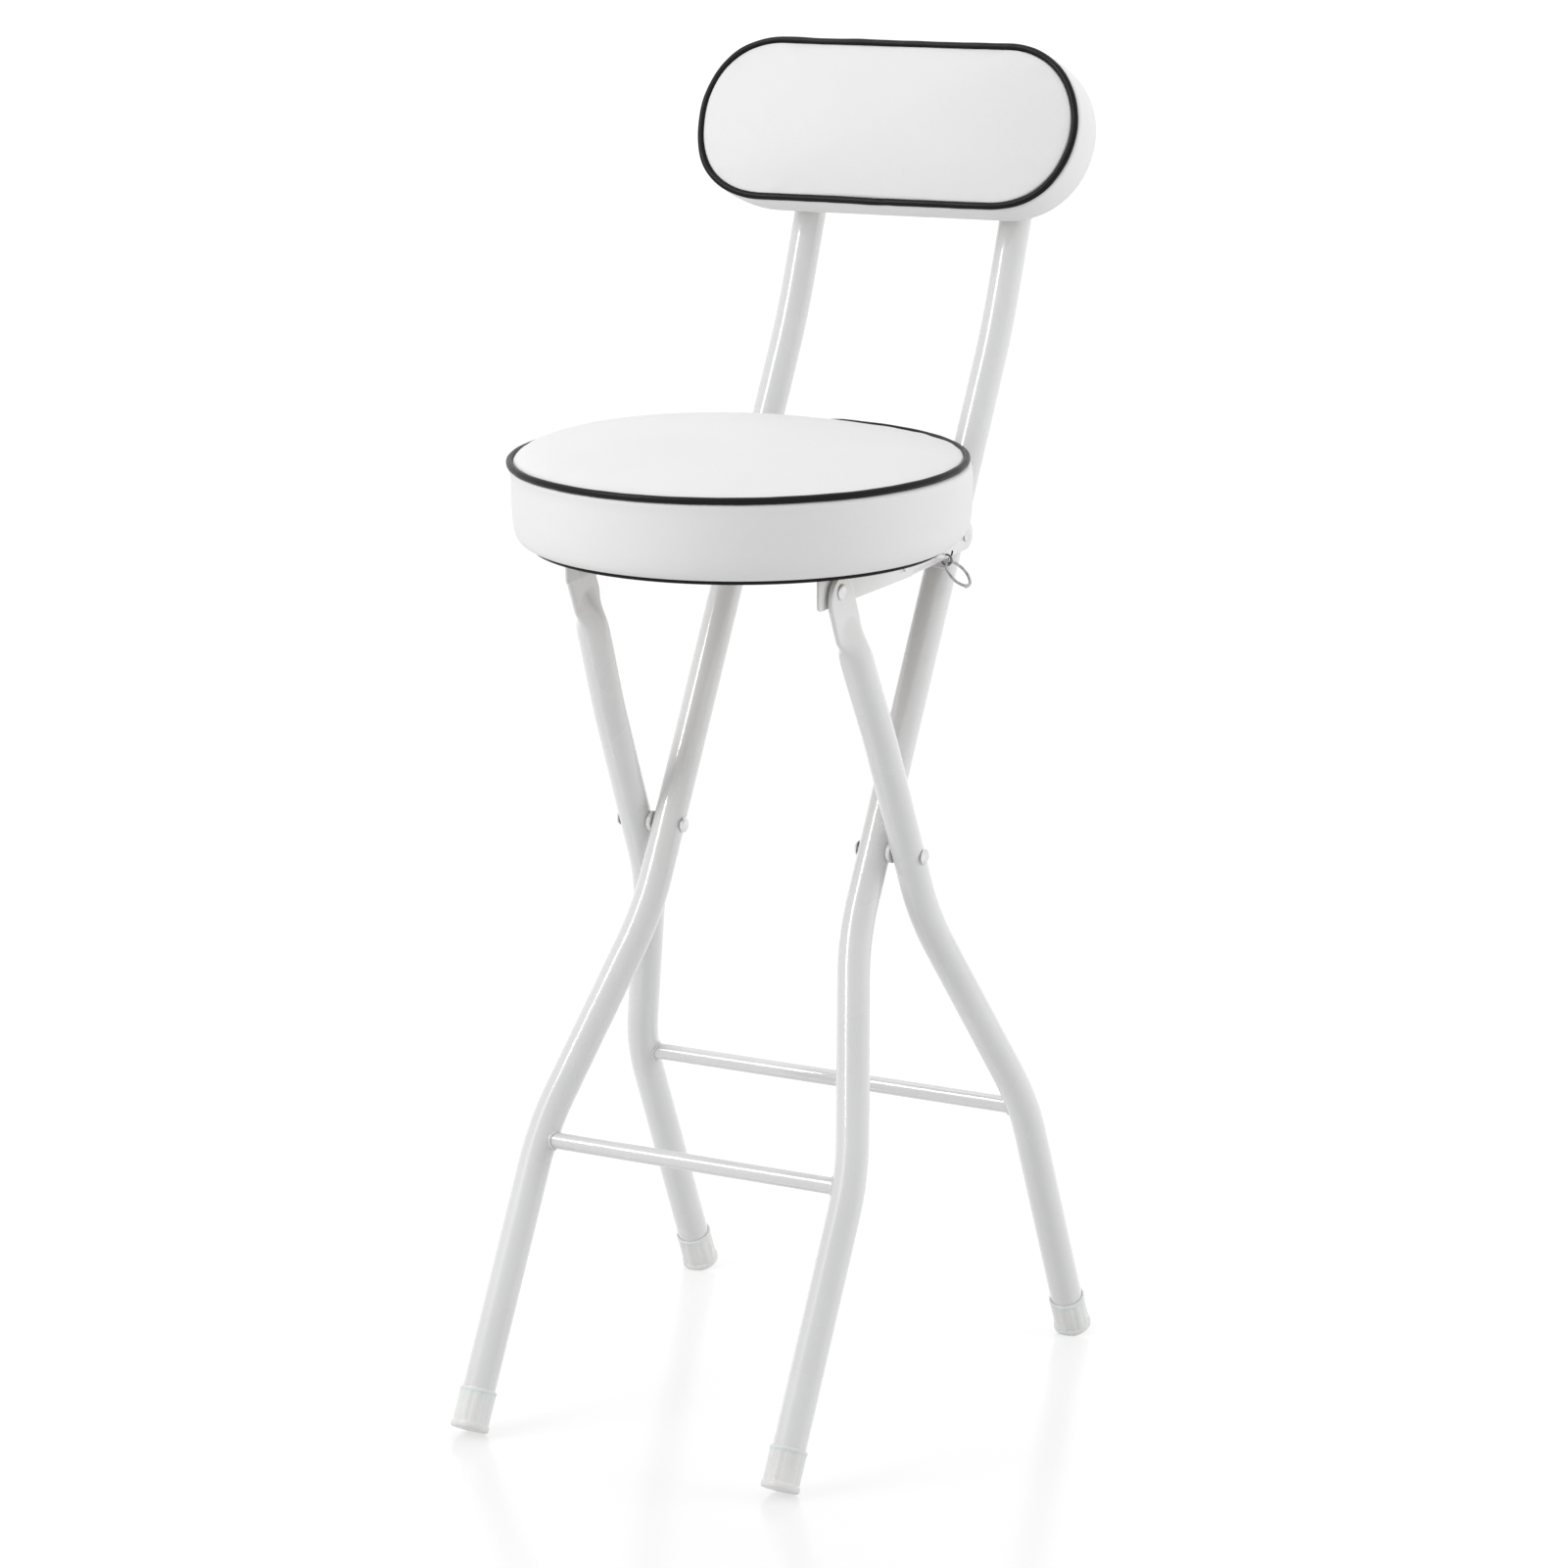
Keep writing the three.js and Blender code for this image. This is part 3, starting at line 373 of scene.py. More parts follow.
# Mesh helpers
def finished(name, mesh, material, body, replaced, sharp):
    """A finished piece from its mesh, smooth except at its sharp edges, riding on its body."""
    mesh.materials.append(material)
    mesh.polygons.foreach_set("use_smooth", [True] * len(mesh.polygons))
    mesh.set_sharp_from_angle(angle=math.radians(sharp))
    piece = bpy.data.objects.new(name, mesh)
    bpy.context.scene.collection.objects.link(piece)
    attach(piece, body)
    if replaced:
        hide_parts(*replaced)
    return piece


def make_object(name, points, faces, material, body, replaced=(), sharp=35.0):
    """A finished piece from points in mm, its faces turned outwards."""
    mesh = bpy.data.meshes.new(name)
    mesh.from_pydata(metres(points).tolist(), [], faces)
    shell = bmesh.new()
    shell.from_mesh(mesh)
    bmesh.ops.recalc_face_normals(shell, faces=shell.faces)
    shell.to_mesh(mesh)
    shell.free()
    return finished(name, mesh, material, body, replaced, sharp)


def grid_faces(rows, columns, wrap_rows=False):
    """Faces of a grid of points whose columns close on themselves. Its ends are capped unless they meet."""
    here = (np.arange(rows if wrap_rows else rows - 1) * columns)[:, None]
    after = (here + columns) % (rows * columns)
    column = np.arange(columns)
    other = (column + 1) % columns
    faces = np.stack([here + column, here + other, after + other, after + column], -1).reshape(-1, 4).tolist()
    if not wrap_rows:
        faces.append(list(range(columns - 1, -1, -1)))
        faces.append(list(range((rows - 1) * columns, rows * columns)))
    return faces


def skin(name, rings, material, body, replaced=(), wrap_rows=False, sharp=35.0):
    """A piece from an array of rings, rows by columns by three."""
    rings = np.asarray(rings, float)
    faces = grid_faces(rings.shape[0], rings.shape[1], wrap_rows)
    return make_object(name, rings.reshape(-1, 3), faces, material, body, replaced, sharp)


def mirror(rings, way):
    """The same rings on the other side of the middle plane where way is -1."""
    out = np.array(rings, float)
    out[..., 0] *= way
    return out


def eased(corners, reach, steps=14):
    """Straight legs with each inner corner p eased: (1-t)^2 a + 2t(1-t) p + t^2 b."""
    corners = [np.array(c, float) for c in corners]
    route = [corners[0]]
    for before, corner, after in zip(corners, corners[1:], corners[2:]):
        a = corner + (before - corner) * reach / np.linalg.norm(before - corner)
        b = corner + (after - corner) * reach / np.linalg.norm(after - corner)
        for t in np.linspace(0, 1, steps):
            route.append((1 - t) ** 2 * a + 2 * t * (1 - t) * corner + t ** 2 * b)
    route.append(corners[-1])
    return np.array(route)


def unit(vectors):
    """Each vector at length one."""
    return vectors / np.linalg.norm(vectors, axis=-1, keepdims=True)


def square_to(vectors, along):
    """What is left of each vector across the way along, at length one."""
    return unit(vectors - (vectors * along).sum(-1, keepdims=True) * along)


def full_turn(count):
    """Even angles of a full turn, the last of them short of it."""
    return np.linspace(0, 2 * math.pi, count, endpoint=False)


def circles(centres, first, second, radius, sides):
    """A round ring about each centre: centre + r (first cos a + second sin a)."""
    turns = full_turn(sides)[:, None]
    ring = np.cos(turns) * first[:, None] + np.sin(turns) * second[:, None]
    return centres[:, None] + np.broadcast_to(radius, len(centres))[:, None, None] * ring


def sweep(route, radius, sides):
    """Round rings along a route, the first direction of each as near +X as it can be."""
    along = unit(np.gradient(route, axis=0))
    side = square_to(np.array([1.0, 0.0, 0.0]), along)
    return circles(route, side, np.cross(along, side), radius, sides)


def turned(profile, origin, axis, sides=40):
    """Rings turned about an axis: profile rows are (distance along, radius)."""
    axis = unit(np.array(axis, float))
    first = unit(np.cross(axis, [0.0, 1.0, 0.0] if abs(axis[1]) < 0.9 else [1.0, 0.0, 0.0]))
    second = np.cross(axis, first)
    along, radius = np.array(profile).T
    return circles(np.array(origin, float) + axis * along[:, None], first[None], second[None], radius, sides)


def dome(flat, tip, radius, steps=7):
    """A domed head's profile with a small rounded rim: radius cos a, height sin a."""
    rise = tip - flat
    rows = [(flat, radius * 0.96), (flat + rise * 0.12, radius)]
    for k in range(1, steps + 1):
        turn = math.pi / 2 * k / steps
        rows.append((flat + rise * (0.12 + 0.88 * math.sin(turn)), max(radius * math.cos(turn), 0.02)))
    return rows


def headed(from_x, to_x, head_in, head_out):
    """The profile of a rivet across the stool with a head outside each end."""
    rows = [(from_x, pin_radius), (to_x, pin_radius)]
    if head_in:
        rows = dome(from_x, from_x - head_in[1], head_in[0])[::-1] + rows
    if head_out:
        rows = rows + dome(to_x, to_x + head_out[1], head_out[0])
    return rows


def cross_piece(name, pivot, profile, material, body, wrap_rows=False):
    """A turned piece across the stool at a pivot, on both sides, standing for its CAD nodes."""
    for label, way in SIDES.items():
        rings = mirror(turned(profile, (0.0, *pivot), (1.0, 0.0, 0.0)), way)
        node = f"{name}_{label}"
        skin(f"{node}_part", rings, material, body, [node], wrap_rows)


def plate(node, outlines, body):
    """Painted sheet parts in one piece: each is an outline in mm, and its thickness as a direction in mm."""
    sheets = bmesh.new()
    for outline, thickness in outlines:
        corners = [sheets.verts.new(p) for p in metres(outline).tolist()]
        moved = bmesh.ops.extrude_face_region(sheets, geom=[sheets.faces.new(corners)])
        verts = [e for e in moved["geom"] if isinstance(e, bmesh.types.BMVert)]
        bmesh.ops.translate(sheets, verts=verts, vec=Vector(thickness) * MM)
    bmesh.ops.recalc_face_normals(sheets, faces=sheets.faces)
    edges = [e for e in sheets.edges if e.calc_face_angle(0) > math.radians(30)]
    bmesh.ops.bevel(
        sheets, geom=edges, offset=sheet_bevel * MM, segments=2, profile=0.5, affect="EDGES",
        clamp_overlap=True,
    )
    mesh = bpy.data.meshes.new(f"{node}_part")
    sheets.to_mesh(mesh)
    sheets.free()
    return finished(mesh.name, mesh, paint, body, [node], 50.0)


def arc(centre, radius, start, end, steps):
    """Points on an arc, centre + r (cos a, sin a), with its angles in degrees."""
    turns = np.radians(np.linspace(start, end, steps))
    return [(centre[0] + radius * math.cos(t), centre[1] + radius * math.sin(t)) for t in turns]


# Frame tubes
foot_length = 31.5
foot_floor = 3.0
cap_radius = tube_radius + 1.25
sole_radius = cap_radius + 1.0
heel_cut = 1.5
tube_sides = 64
plug_drop = 18.0


def foot_base(x, side_y, slope):
    """The middle of a foot cap's sole and the way up its leg: its outer edge is cut flat at the heel."""
    lean = math.atan(slope)
    height = (sole_radius - heel_cut) * abs(math.sin(lean)) - 1.0
    return np.array([x, side_y(height), height]), np.array([0.0, math.sin(lean), math.cos(lean)])


long_foot, long_up = foot_base(long_low_x, long_y, long_slope)
short_foot, short_up = foot_base(short_low_x, short_y, short_slope)
top_y = long_y(top_bend)
back_stack = back_depth + fit + back_board_thickness + fit + tube_radius
back_axis_z = back_z - back_stack * back_front[2]
back_axis = np.array([0.0, top_y + top_slope * (back_axis_z - top_bend), back_axis_z])
back_centre = back_axis + back_front * back_stack
long_top = back_axis + back_up * (back_size[1] / 2 - plug_drop) + [long_high_x, 0, 0]
long_route = eased([
    long_foot + long_up * (foot_floor + fit),
    [long_low_x, long_y(long_spread[0]), long_spread[0]],
    [long_high_x, long_y(long_spread[1]), long_spread[1]],
    [long_high_x, top_y, top_bend],
    long_top,
], bend_reach)

# The short tube stays round up to the blend, which ends where its plate starts below the pivot
plate_start = 38.0
blend_length = 24.0
lean_reach = np.linspace(140.0, plate_start + blend_length, 16)[:, None]
lean_route = np.array([0.0, *seat_pivot]) - short_up * lean_reach
lean_route[:, 0] = short_top_x(lean_route[:, 2])
short_route = np.concatenate([eased([
    short_foot + short_up * (foot_floor + fit),
    [short_low_x, short_y(short_spread[0]), short_spread[0]],
    [short_high_x, short_y(short_spread[1]), short_spread[1]],
    lean_route[0],
], bend_reach), lean_route[1:]])


def pressed_top():
    """Rings of the pressed tube top: round below, flat round the pivot, with a soft arched crease between.

    The share of flatness at distance u (0..1) below the flat is 1 - sin(u^1.3 pi/2). The round tube reaches
    arch (1 - w^2) further up at the middle of the plate than at its edges. The plate ends in a half round,
    half width sqrt(1 - r^2) at r times the half width above its start.
    """
    arch = 11.0
    lead = 4.0
    round_start = -7.0
    turns = full_turn(tube_sides)
    wide = np.sin(turns)
    deep = np.cos(turns)
    distances = np.linspace(-plate_start - blend_length + 1, -plate_start + 20, 34)
    distances = np.concatenate([distances, [-12.0, round_start]])[:, None]
    below = -plate_start - distances
    run = np.clip((below + lead) / (blend_length - 1 + lead), 0, 1)
    half_width = tube_radius + (plate_half_width - tube_radius) * (1 - np.sin(run ** 1.3 * math.pi / 2))
    start = -lead - arch * (1 - wide ** 2)
    local = np.clip((below - start) / (blend_length - 1 - start), 0, 1)
    share = 1 - np.sin(local ** 1.3 * math.pi / 2)
    reach = np.sin(np.linspace(0, math.radians(85), 14))[:, None]
    distances = np.concatenate([distances, round_start + plate_half_width * reach])
    half_width = np.concatenate([half_width, plate_half_width * np.sqrt(1 - reach ** 2)])
    share = np.concatenate([share, np.ones((len(reach), tube_sides))])
    axis = np.array([0.0, *seat_pivot]) + short_up * distances
    centre_x = short_top_x(axis[:, 2:])
    width = half_width * wide
    past = np.maximum(np.abs(width) - (half_width - plate_half_thickness), 0)
    flat = np.sqrt(np.maximum(plate_half_thickness ** 2 - past ** 2, 0)) * np.sign(deep.round(9))
    spread = (1 - share) * tube_radius * wide + share * width
    rings = axis[:, None] + spread[..., None] * np.cross(short_up, [1.0, 0.0, 0.0])
    rings[..., 0] = centre_x + (plate_x - centre_x) * share + (1 - share) * tube_radius * deep + share * flat
    return rings


pressed = pressed_top()
for label, way in SIDES.items():
    tube = mirror(sweep(long_route, tube_radius, tube_sides), way)
    skin(f"back_tube_{label}_skin", tube, paint, "long_frame", [f"back_tube_{label}"])
    tube = mirror(np.concatenate([sweep(short_route, tube_radius, tube_sides), pressed]), way)
    skin(f"short_tube_{label}_skin", tube, paint, "short_frame", [f"short_tube_{label}"])


# Crossbars, their ends coped to the tubes, with a weld bead round each end
cope_sink = -0.6
weld_gap = 0.2


def coped_end(route, height, side_y, radius, gap, turns):
    """How far out along x a bar's skin meets the tube at each angle: the first point within reach of it."""
    steps = np.linalg.norm(np.diff(route, axis=0), axis=1)
    run = np.concatenate([[0], np.cumsum(steps)])
    want = np.linspace(0, run[-1], 1400)
    dense = np.stack([np.interp(want, run, route[:, k]) for k in range(3)], -1)
    dense = dense[np.abs(dense[:, 2] - height) < 60]
    tries = np.linspace(dense[:, 0].min() - 40, dense[:, 0].max(), 500)
    y = side_y(height) + radius * np.cos(turns)
    z = height + radius * np.sin(turns)
    aside = (y[:, None] - dense[:, 1]) ** 2 + (z[:, None] - dense[:, 2]) ** 2
    near = np.sqrt(((tries[:, None] - dense[:, 0]) ** 2 + aside[:, None]).min(-1))
    return tries[np.argmax(near <= tube_radius + gap, axis=1)]


def crossbar(name, route, height, side_y, body):
    """A round bar along x between its coped ends, and at each end a lumpy ring of weld.

    The weld's section is a circle whose radius varies by a sine and by chance round the bar.
    """
    turns = full_turn(48)
    ends = coped_end(route, height, side_y, bar_radius, cope_sink, turns)
    y = side_y(height) + bar_radius * np.cos(turns)
    z = height + bar_radius * np.sin(turns)
    rings = np.stack(np.broadcast_arrays(ends * np.linspace(-1, 1, 9)[:, None], y, z), -1)
    skin(f"{name}_skin", rings, paint, body, [name])
    chance = np.random.default_rng(7)
    around = full_turn(12)[:, None]
    for label, way in SIDES.items():
        lumps = 1.35 + 0.22 * np.sin(turns * 7 + 1) + 0.12 * chance.standard_normal(len(turns))
        seat = coped_end(route, height, side_y, bar_radius + 0.6, weld_gap, turns)
        out = bar_radius + 0.5 + lumps * np.cos(around) * 0.9
        x = way * (seat + lumps * np.sin(around))
        loops = np.stack([x, side_y(height) + out * np.cos(turns), height + out * np.sin(turns)], -1)
        skin(f"{name}_weld_{label}", loops, paint, body, wrap_rows=True, sharp=80)


crossbar("front_crossbar", long_route, long_bar_z, long_y, "long_frame")
crossbar("rear_crossbar", short_route, short_bar_z, short_y, "short_frame")


# Foot caps: fluted sleeve, beaded lip and flared sole
def foot_cap(base, up, way):
    """Rings up the leg: radius - flute depth (1/2 - cos(12 a)/2)^2 / 2, cut flat at the floor.

    Each row gives the height along the leg, the radius and the share of the flutes' depth.
    """
    flute_count = 12
    wide = sole_radius
    rows = [
        (0.0, wide - 4.5, 0), (0.0, wide - 1.5, 0), (0.35, wide - 0.7, 0), (0.9, wide - 0.2, 0),
        (1.6, wide, 0), (3.9, wide, 0), (4.6, wide - 0.25, 0), (5.1, cap_radius + 0.15, 0.1),
        (5.7, cap_radius - 0.05, 0.9), (7.0, cap_radius, 1), (26.6, cap_radius, 1),
        (27.8, cap_radius, 0.8), (28.4, cap_radius + 0.05, 0),
        (28.8, cap_radius + 0.35, 0), (29.6, cap_radius + 0.5, 0), (30.6, cap_radius + 0.45, 0),
        (31.2, cap_radius + 0.1, 0), (foot_length, cap_radius - 0.4, 0), (31.45, tube_radius + 0.2, 0),
        (26.0, tube_radius + 0.12, 0),
    ]
    along, radius, depth = np.array(rows).T[..., None]
    turns = full_turn(flute_count * 10)
    radius = radius - 0.5 * (0.5 - 0.5 * np.cos(turns * flute_count)) ** 2 * depth
    side = np.array([1.0, 0.0, 0.0])
    around = np.cos(turns)[:, None] * side + np.sin(turns)[:, None] * np.cross(up, side)
    rings = mirror((base + up * along)[:, None] + radius[..., None] * around, way)
    rings[..., 2] = np.maximum(rings[..., 2], 0)
    return rings


plug_profile = [(-9.0, 10.4), (0.3, 10.5), (0.3, 12.3), (0.6, 12.5), (1.4, 12.5)]
plug_profile += [
    (1.4 + 1.9 * math.sin(t), max(12.4 * math.cos(t), 0.02)) for t in np.linspace(0.15, math.pi / 2, 9)
]
for label, way in SIDES.items():
    caps = {
        "front_foot": (foot_cap(long_foot, long_up, way), "long_frame"),
        "rear_foot": (foot_cap(short_foot, short_up, way), "short_frame"),
        "tube_plug": (turned(plug_profile, mirror(long_top, way), back_up, 64), "long_frame"),
    }
    for name, (rings, body) in caps.items():
        skin(f"{name}_{label}_cap", rings, cap_plastic, body, [f"{name}_{label}"])


# Rivets, spacers and washers
cross_piece(
    "scissor_rivet", scissor_pivot,
    headed(long_high_x - tube_radius - fit, short_pivot_x + tube_radius + fit, rivet_head, rivet_head),
    plated, "long_frame",
)
cross_piece(
    "link_rivet", link_rear_pivot,
    headed(long_high_x - tube_radius - fit, link_outer_x + fit, flat_head, flat_head),
    plated, "long_frame",
)
cross_piece(
    "seat_rivet", seat_pivot,
    headed(rail_outer_x + fit, plate_outer_x + fit, None, seat_head), plated, "short_frame",
)
cross_piece(
    "rail_stub", seat_pivot,
    headed(rail_inner_x - fit, rail_outer_x, flat_head, None), plated, "seat",
)
cross_piece(
    "link_pin", link_seat_pivot,
    headed(link_inner_x - fit, rail_outer_x + fit, flat_head, flat_head), plated, "seat",
)


def ring_profile(start, end, outer, inner, edge=0.35):
    """A washer or spacer with eased edges."""
    return [
        (start, inner), (start, outer - edge), (start + edge, outer), (end - edge, outer),
        (end, outer - edge), (end, inner),
    ]


cross_piece(
    "scissor_spacer", scissor_pivot,
    ring_profile(
        long_high_x + tube_radius + fit, short_pivot_x - tube_radius - fit, spacer_radius, pin_radius + fit,
    ),
    cap_plastic, "long_frame", wrap_rows=True,
)
cross_piece(
    "seat_washer", seat_pivot,
    ring_profile(rail_outer_x + fit, plate_inner_x - fit, washer_radius, pin_radius + fit, 0.2),
    cap_plastic, "short_frame", wrap_rows=True,
)


# Screws with a cross recess in a pan head
def screw(node, origin, axis, length, body):
    """A pan-head screw from under its head, pointing along axis.

    The recess sinks the head's points where the lesser of their distances u and v from the middle is under
    half an arm's width, and the greater one is under its reach. Both edges slope.
    """
    half_arm = 0.75
    arm_reach = 2.3
    arm_depth = 1.1
    sides = 48
    radius, height = screw_head
    profile = [(length, 0.05), (length - screw_radius, screw_radius), (0.0, screw_radius)]
    profile += dome(0.0, -height, radius, 9)
    rings = turned(profile, origin, axis, sides)
    axis = np.array(axis, float)
    flat = rings - np.array(origin, float)
    along = flat @ axis
    turns = full_turn(sides)
    reach = np.linalg.norm(flat - along[..., None] * axis, axis=-1)
    u = np.abs(reach * np.cos(turns))
    v = np.abs(reach * np.sin(turns))
    recess = np.clip((half_arm - np.minimum(u, v)) / 0.3, 0, 1)
    recess *= np.clip((arm_reach - np.maximum(u, v)) / 0.4, 0, 1)
    rings = rings + (recess * arm_depth * (along < -0.2))[..., None] * axis
    skin(f"{node}_part", rings, plated, body, [node], sharp=50)


rail_screw_x = rail_outer_x + 8.3
rail_screw_margin = 18.0
flange_front = seat_pivot[0] + 31.0
flange_rear = seat_y + math.sqrt(board_radius ** 2 - rail_screw_x ** 2) - 6.1
rail_screws = (
    flange_front + rail_screw_margin, (flange_front + flange_rear) / 2, flange_rear - rail_screw_margin,
)
screw_head_z = rail_top - sheet - fit
for label, way in SIDES.items():
    for k, y in enumerate(rail_screws, 1):
        origin = (way * rail_screw_x, y, screw_head_z)
        screw(f"rail_screw_{k}_{label}", origin, (0, 0, 1), board_bottom + screw_bite - screw_head_z, "seat")
back_base = back_depth + fit + back_board_thickness
back_head = back_base + fit + 2 * tube_radius + fit
back_screws = [(way, rise) for way in SIDES.values() for rise in (-back_screw_rise, back_screw_rise)]
for k, (way, rise) in enumerate(back_screws, 1):
    origin = back_centre - back_front * back_head + back_up * rise + [way * long_high_x, 0, 0]
    screw(f"backrest_screw_{k}", origin, back_front, back_head - back_base + screw_bite, "long_frame")


# Seat rails: web, flange and the bend between them
def side_outline(points, x):
    """Points (y, z) of the side view, at a distance from the middle plane."""
    return [(x, y, z) for y, z in points]


rail_front = seat_pivot[0] - 24.5
rail_corner = 4.0
tab_corner = 6.0
flange_outer = rail_outer_x + 15.8
end_drop = link_seat_pivot[1] - rail_bottom
end_radius = end_drop + 4.0
end_turn = math.degrees(math.asin(end_drop / end_radius))
web = [(rail_front, rail_top)]
web += arc((rail_front + rail_corner, rail_bottom + rail_corner), rail_corner, 180, 270, 8)
web += arc(link_seat_pivot, end_radius, -end_turn, 8, 16)
web += [
    (flange_rear + 0.5, rail_top - sheet - 1.5), (flange_rear, rail_top - 3.2),
    (flange_front - 1.0, rail_top - 3.2), (flange_front - 1.0, rail_top),
]
bend_middle = (rail_inner_x + bend_outer, rail_top - bend_outer)
bend = [(rail_inner_x, rail_top - 6.0)]
bend += arc(bend_middle, bend_outer, 180, 90, 8)
bend += [(flange_outer - 7.0, rail_top), (flange_outer - 7.0, rail_top - sheet)]
bend += arc(bend_middle, bend_inner, 90, 180, 5)
bend += [(rail_outer_x, rail_top - 6.0)]
tab = [(rail_outer_x + 1.5, flange_front)]
tab += arc((flange_outer - tab_corner, flange_front + tab_corner), tab_corner, -90, 0, 8)
tab += arc((flange_outer - tab_corner, flange_rear - tab_corner), tab_corner, 0, 90, 8)
tab += [(rail_outer_x + 1.5, flange_rear)]
for label, way in SIDES.items():
    parts = [
        (mirror(side_outline(web, rail_inner_x), way), (way * sheet, 0, 0)),
        (mirror([(x, flange_front, z) for x, z in bend], way), (0, flange_rear - flange_front, 0)),
        (mirror([(x, y, rail_top - sheet) for x, y in tab], way), (0, 0, sheet)),
    ]
    plate(f"seat_rail_{label}", parts, "seat")


# Fold links: a bar between two lobes, with a stop bent inward in front of the back tube
along_link = link_rear_pivot - link_seat_pivot
link_turn = math.degrees(math.atan2(along_link[1], along_link[0]))
link_outline = arc(link_rear_pivot, link_lobe, link_turn - 90, link_turn + 90, 24)
link_outline += arc(link_seat_pivot, link_lobe, link_turn + 90, link_turn + 270, 24)
stop_end = long_high_x - 10.9
stop_face = tube_radius + fit
stop_root = 19.0
stop_drop = 32.0
stop_height = 14.0
stop_bend = (link_outer_x - bend_outer, stop_face + bend_outer)
stop = [(stop_end, stop_face)]
stop += arc(stop_bend, bend_outer, -90, 0, 8)
stop += [(link_outer_x, stop_root), (link_inner_x, stop_root)]
stop += arc(stop_bend, bend_inner, 0, -90, 5)
stop += [(stop_end, stop_face + sheet)]
long_front = np.array([0.0, -long_up[2], long_up[1]])
stop_base = np.array([0.0, *link_rear_pivot]) - long_up * stop_drop
stop_outline = np.array([stop_base + [x, 0, 0] + long_front * ahead for x, ahead in stop])
for label, way in SIDES.items():
    parts = [
        (mirror(side_outline(link_outline, link_inner_x), way), (way * sheet, 0, 0)),
        (mirror(stop_outline, way), tuple(long_up * stop_height)),
    ]
    plate(f"fold_link_{label}", parts, "fold_links")


# Wire eye and pull ring, each with the two ends of its wire lapped
def wire_loop(centre, first, second, radius, wire, lap, start):
    """Round wire along centre + r (first cos a + second sin a), where a runs past a full turn by the lap.

    It slides sideways by s^5, with s from -1 to 1 along it, so that its narrowed ends lie side by side.
    """
    count = 96
    turns = np.linspace(start, start + 2 * math.pi + lap, count)[:, None]
    slide = np.linspace(-1, 1, count)[:, None]
    slide = np.sign(slide) * np.abs(slide) ** 5 * wire * 0.9
    ring = np.cos(turns) * first + np.sin(turns) * second
    route = centre + radius * ring + slide * np.cross(first, second)
    along = unit(np.gradient(route, axis=0))
    outward = square_to(ring, along)
    size = np.full(count, wire)
    size[[0, -1]] = wire * 0.55
    size[[1, -2]] = wire * 0.9
    return circles(route, outward, np.cross(along, outward), size, 14)


def hanging(lean):
    """The way down, leaning outward by an angle in degrees."""
    return np.array([math.sin(math.radians(lean)), 0.0, -math.cos(math.radians(lean))])


eye_radius = 4.1
eye_wire = 0.8
ring_radius = 11.8
ring_wire = 1.15
eye_y = link_rear_pivot[0] - 35.16
eye_edge = link_seat_pivot[1] + math.tan(math.radians(link_turn)) * (eye_y - link_seat_pivot[0])
eye_edge -= link_lobe / math.cos(math.radians(link_turn))
eye_centre = np.array([link_inner_x + sheet / 2, eye_y, eye_edge + 3.2]) + hanging(22) * eye_radius
rings = wire_loop(eye_centre, np.array([1.0, 0, 0]), np.array([0, 0, 1.0]), eye_radius, eye_wire, 0.9, -0.4)
skin("ring_eye_wire", rings, dark_wire, "fold_links", ["ring_eye"], sharp=60)
ring_out = hanging(45)
ring_centre = eye_centre + ring_out * (eye_radius - eye_wire - 0.9 - fit + ring_radius)
rings = wire_loop(ring_centre, ring_out, np.array([0, 1.0, 0]), ring_radius, ring_wire, 0.5, -0.3)
skin("pull_ring_wire", rings, ring_steel, "pull_ring", ["pull_ring"], sharp=60)


# Cushion outlines: a point at share t of the way round, moved out by the outset
def round_outline(radius):
    """A circle: (r + outset) (cos 2 pi t, sin 2 pi t)."""
    def at(t, outset):
        turn = 2 * math.pi * np.asarray(t)
        return np.stack([(radius + outset) * np.cos(turn), (radius + outset) * np.sin(turn)], -1)
    return at


def obround_outline(width, height, fullness):
    """Straight top and bottom, round ends; t goes round by arc length from the right-hand end.

    The fullness f pushes out the middle of each quarter's arc by f sin^2 2a, in the order that t meets them.
    """
    fullness = np.array(fullness)
    straight = (width - height) / 2
    half = height / 2
    quarter = half * math.pi / 2
    total = 4 * (quarter + straight)

    def at(t, outset):
        s = (np.asarray(t) % 1.0) * total
        part = np.floor(s / (total / 4)).astype(int) % 4
        rest = s - part * (total / 4)
        # In odd quarters the straight comes first, in even ones the arc.
        even = part % 2 == 0
        arc_run = np.where(even, np.minimum(rest, quarter), np.maximum(rest - straight, 0))
        line_run = np.where(even, np.maximum(rest - quarter, 0), np.minimum(rest, straight))
        turn = arc_run / half
        reach = half + outset + fullness[part] * np.sin(2 * turn) ** 2
        ex = np.where(even, straight + reach * np.cos(turn) - line_run, -line_run - reach * np.sin(turn))
        ey = np.where(even, reach * np.sin(turn), reach * np.cos(turn))
        flip = np.where(part >= 2, -1.0, 1.0)
        return np.stack([ex * flip, ey * flip], -1)
    return at


def carried_round(outline, t, section):
    """A section carried round an outline: each of its corners is an outset and a level."""
    outset, level = np.array(section).T[..., None]
    flat = outline(t, outset)
    return np.concatenate([flat, np.broadcast_to(level[..., None], (*flat.shape[:2], 1))], -1)


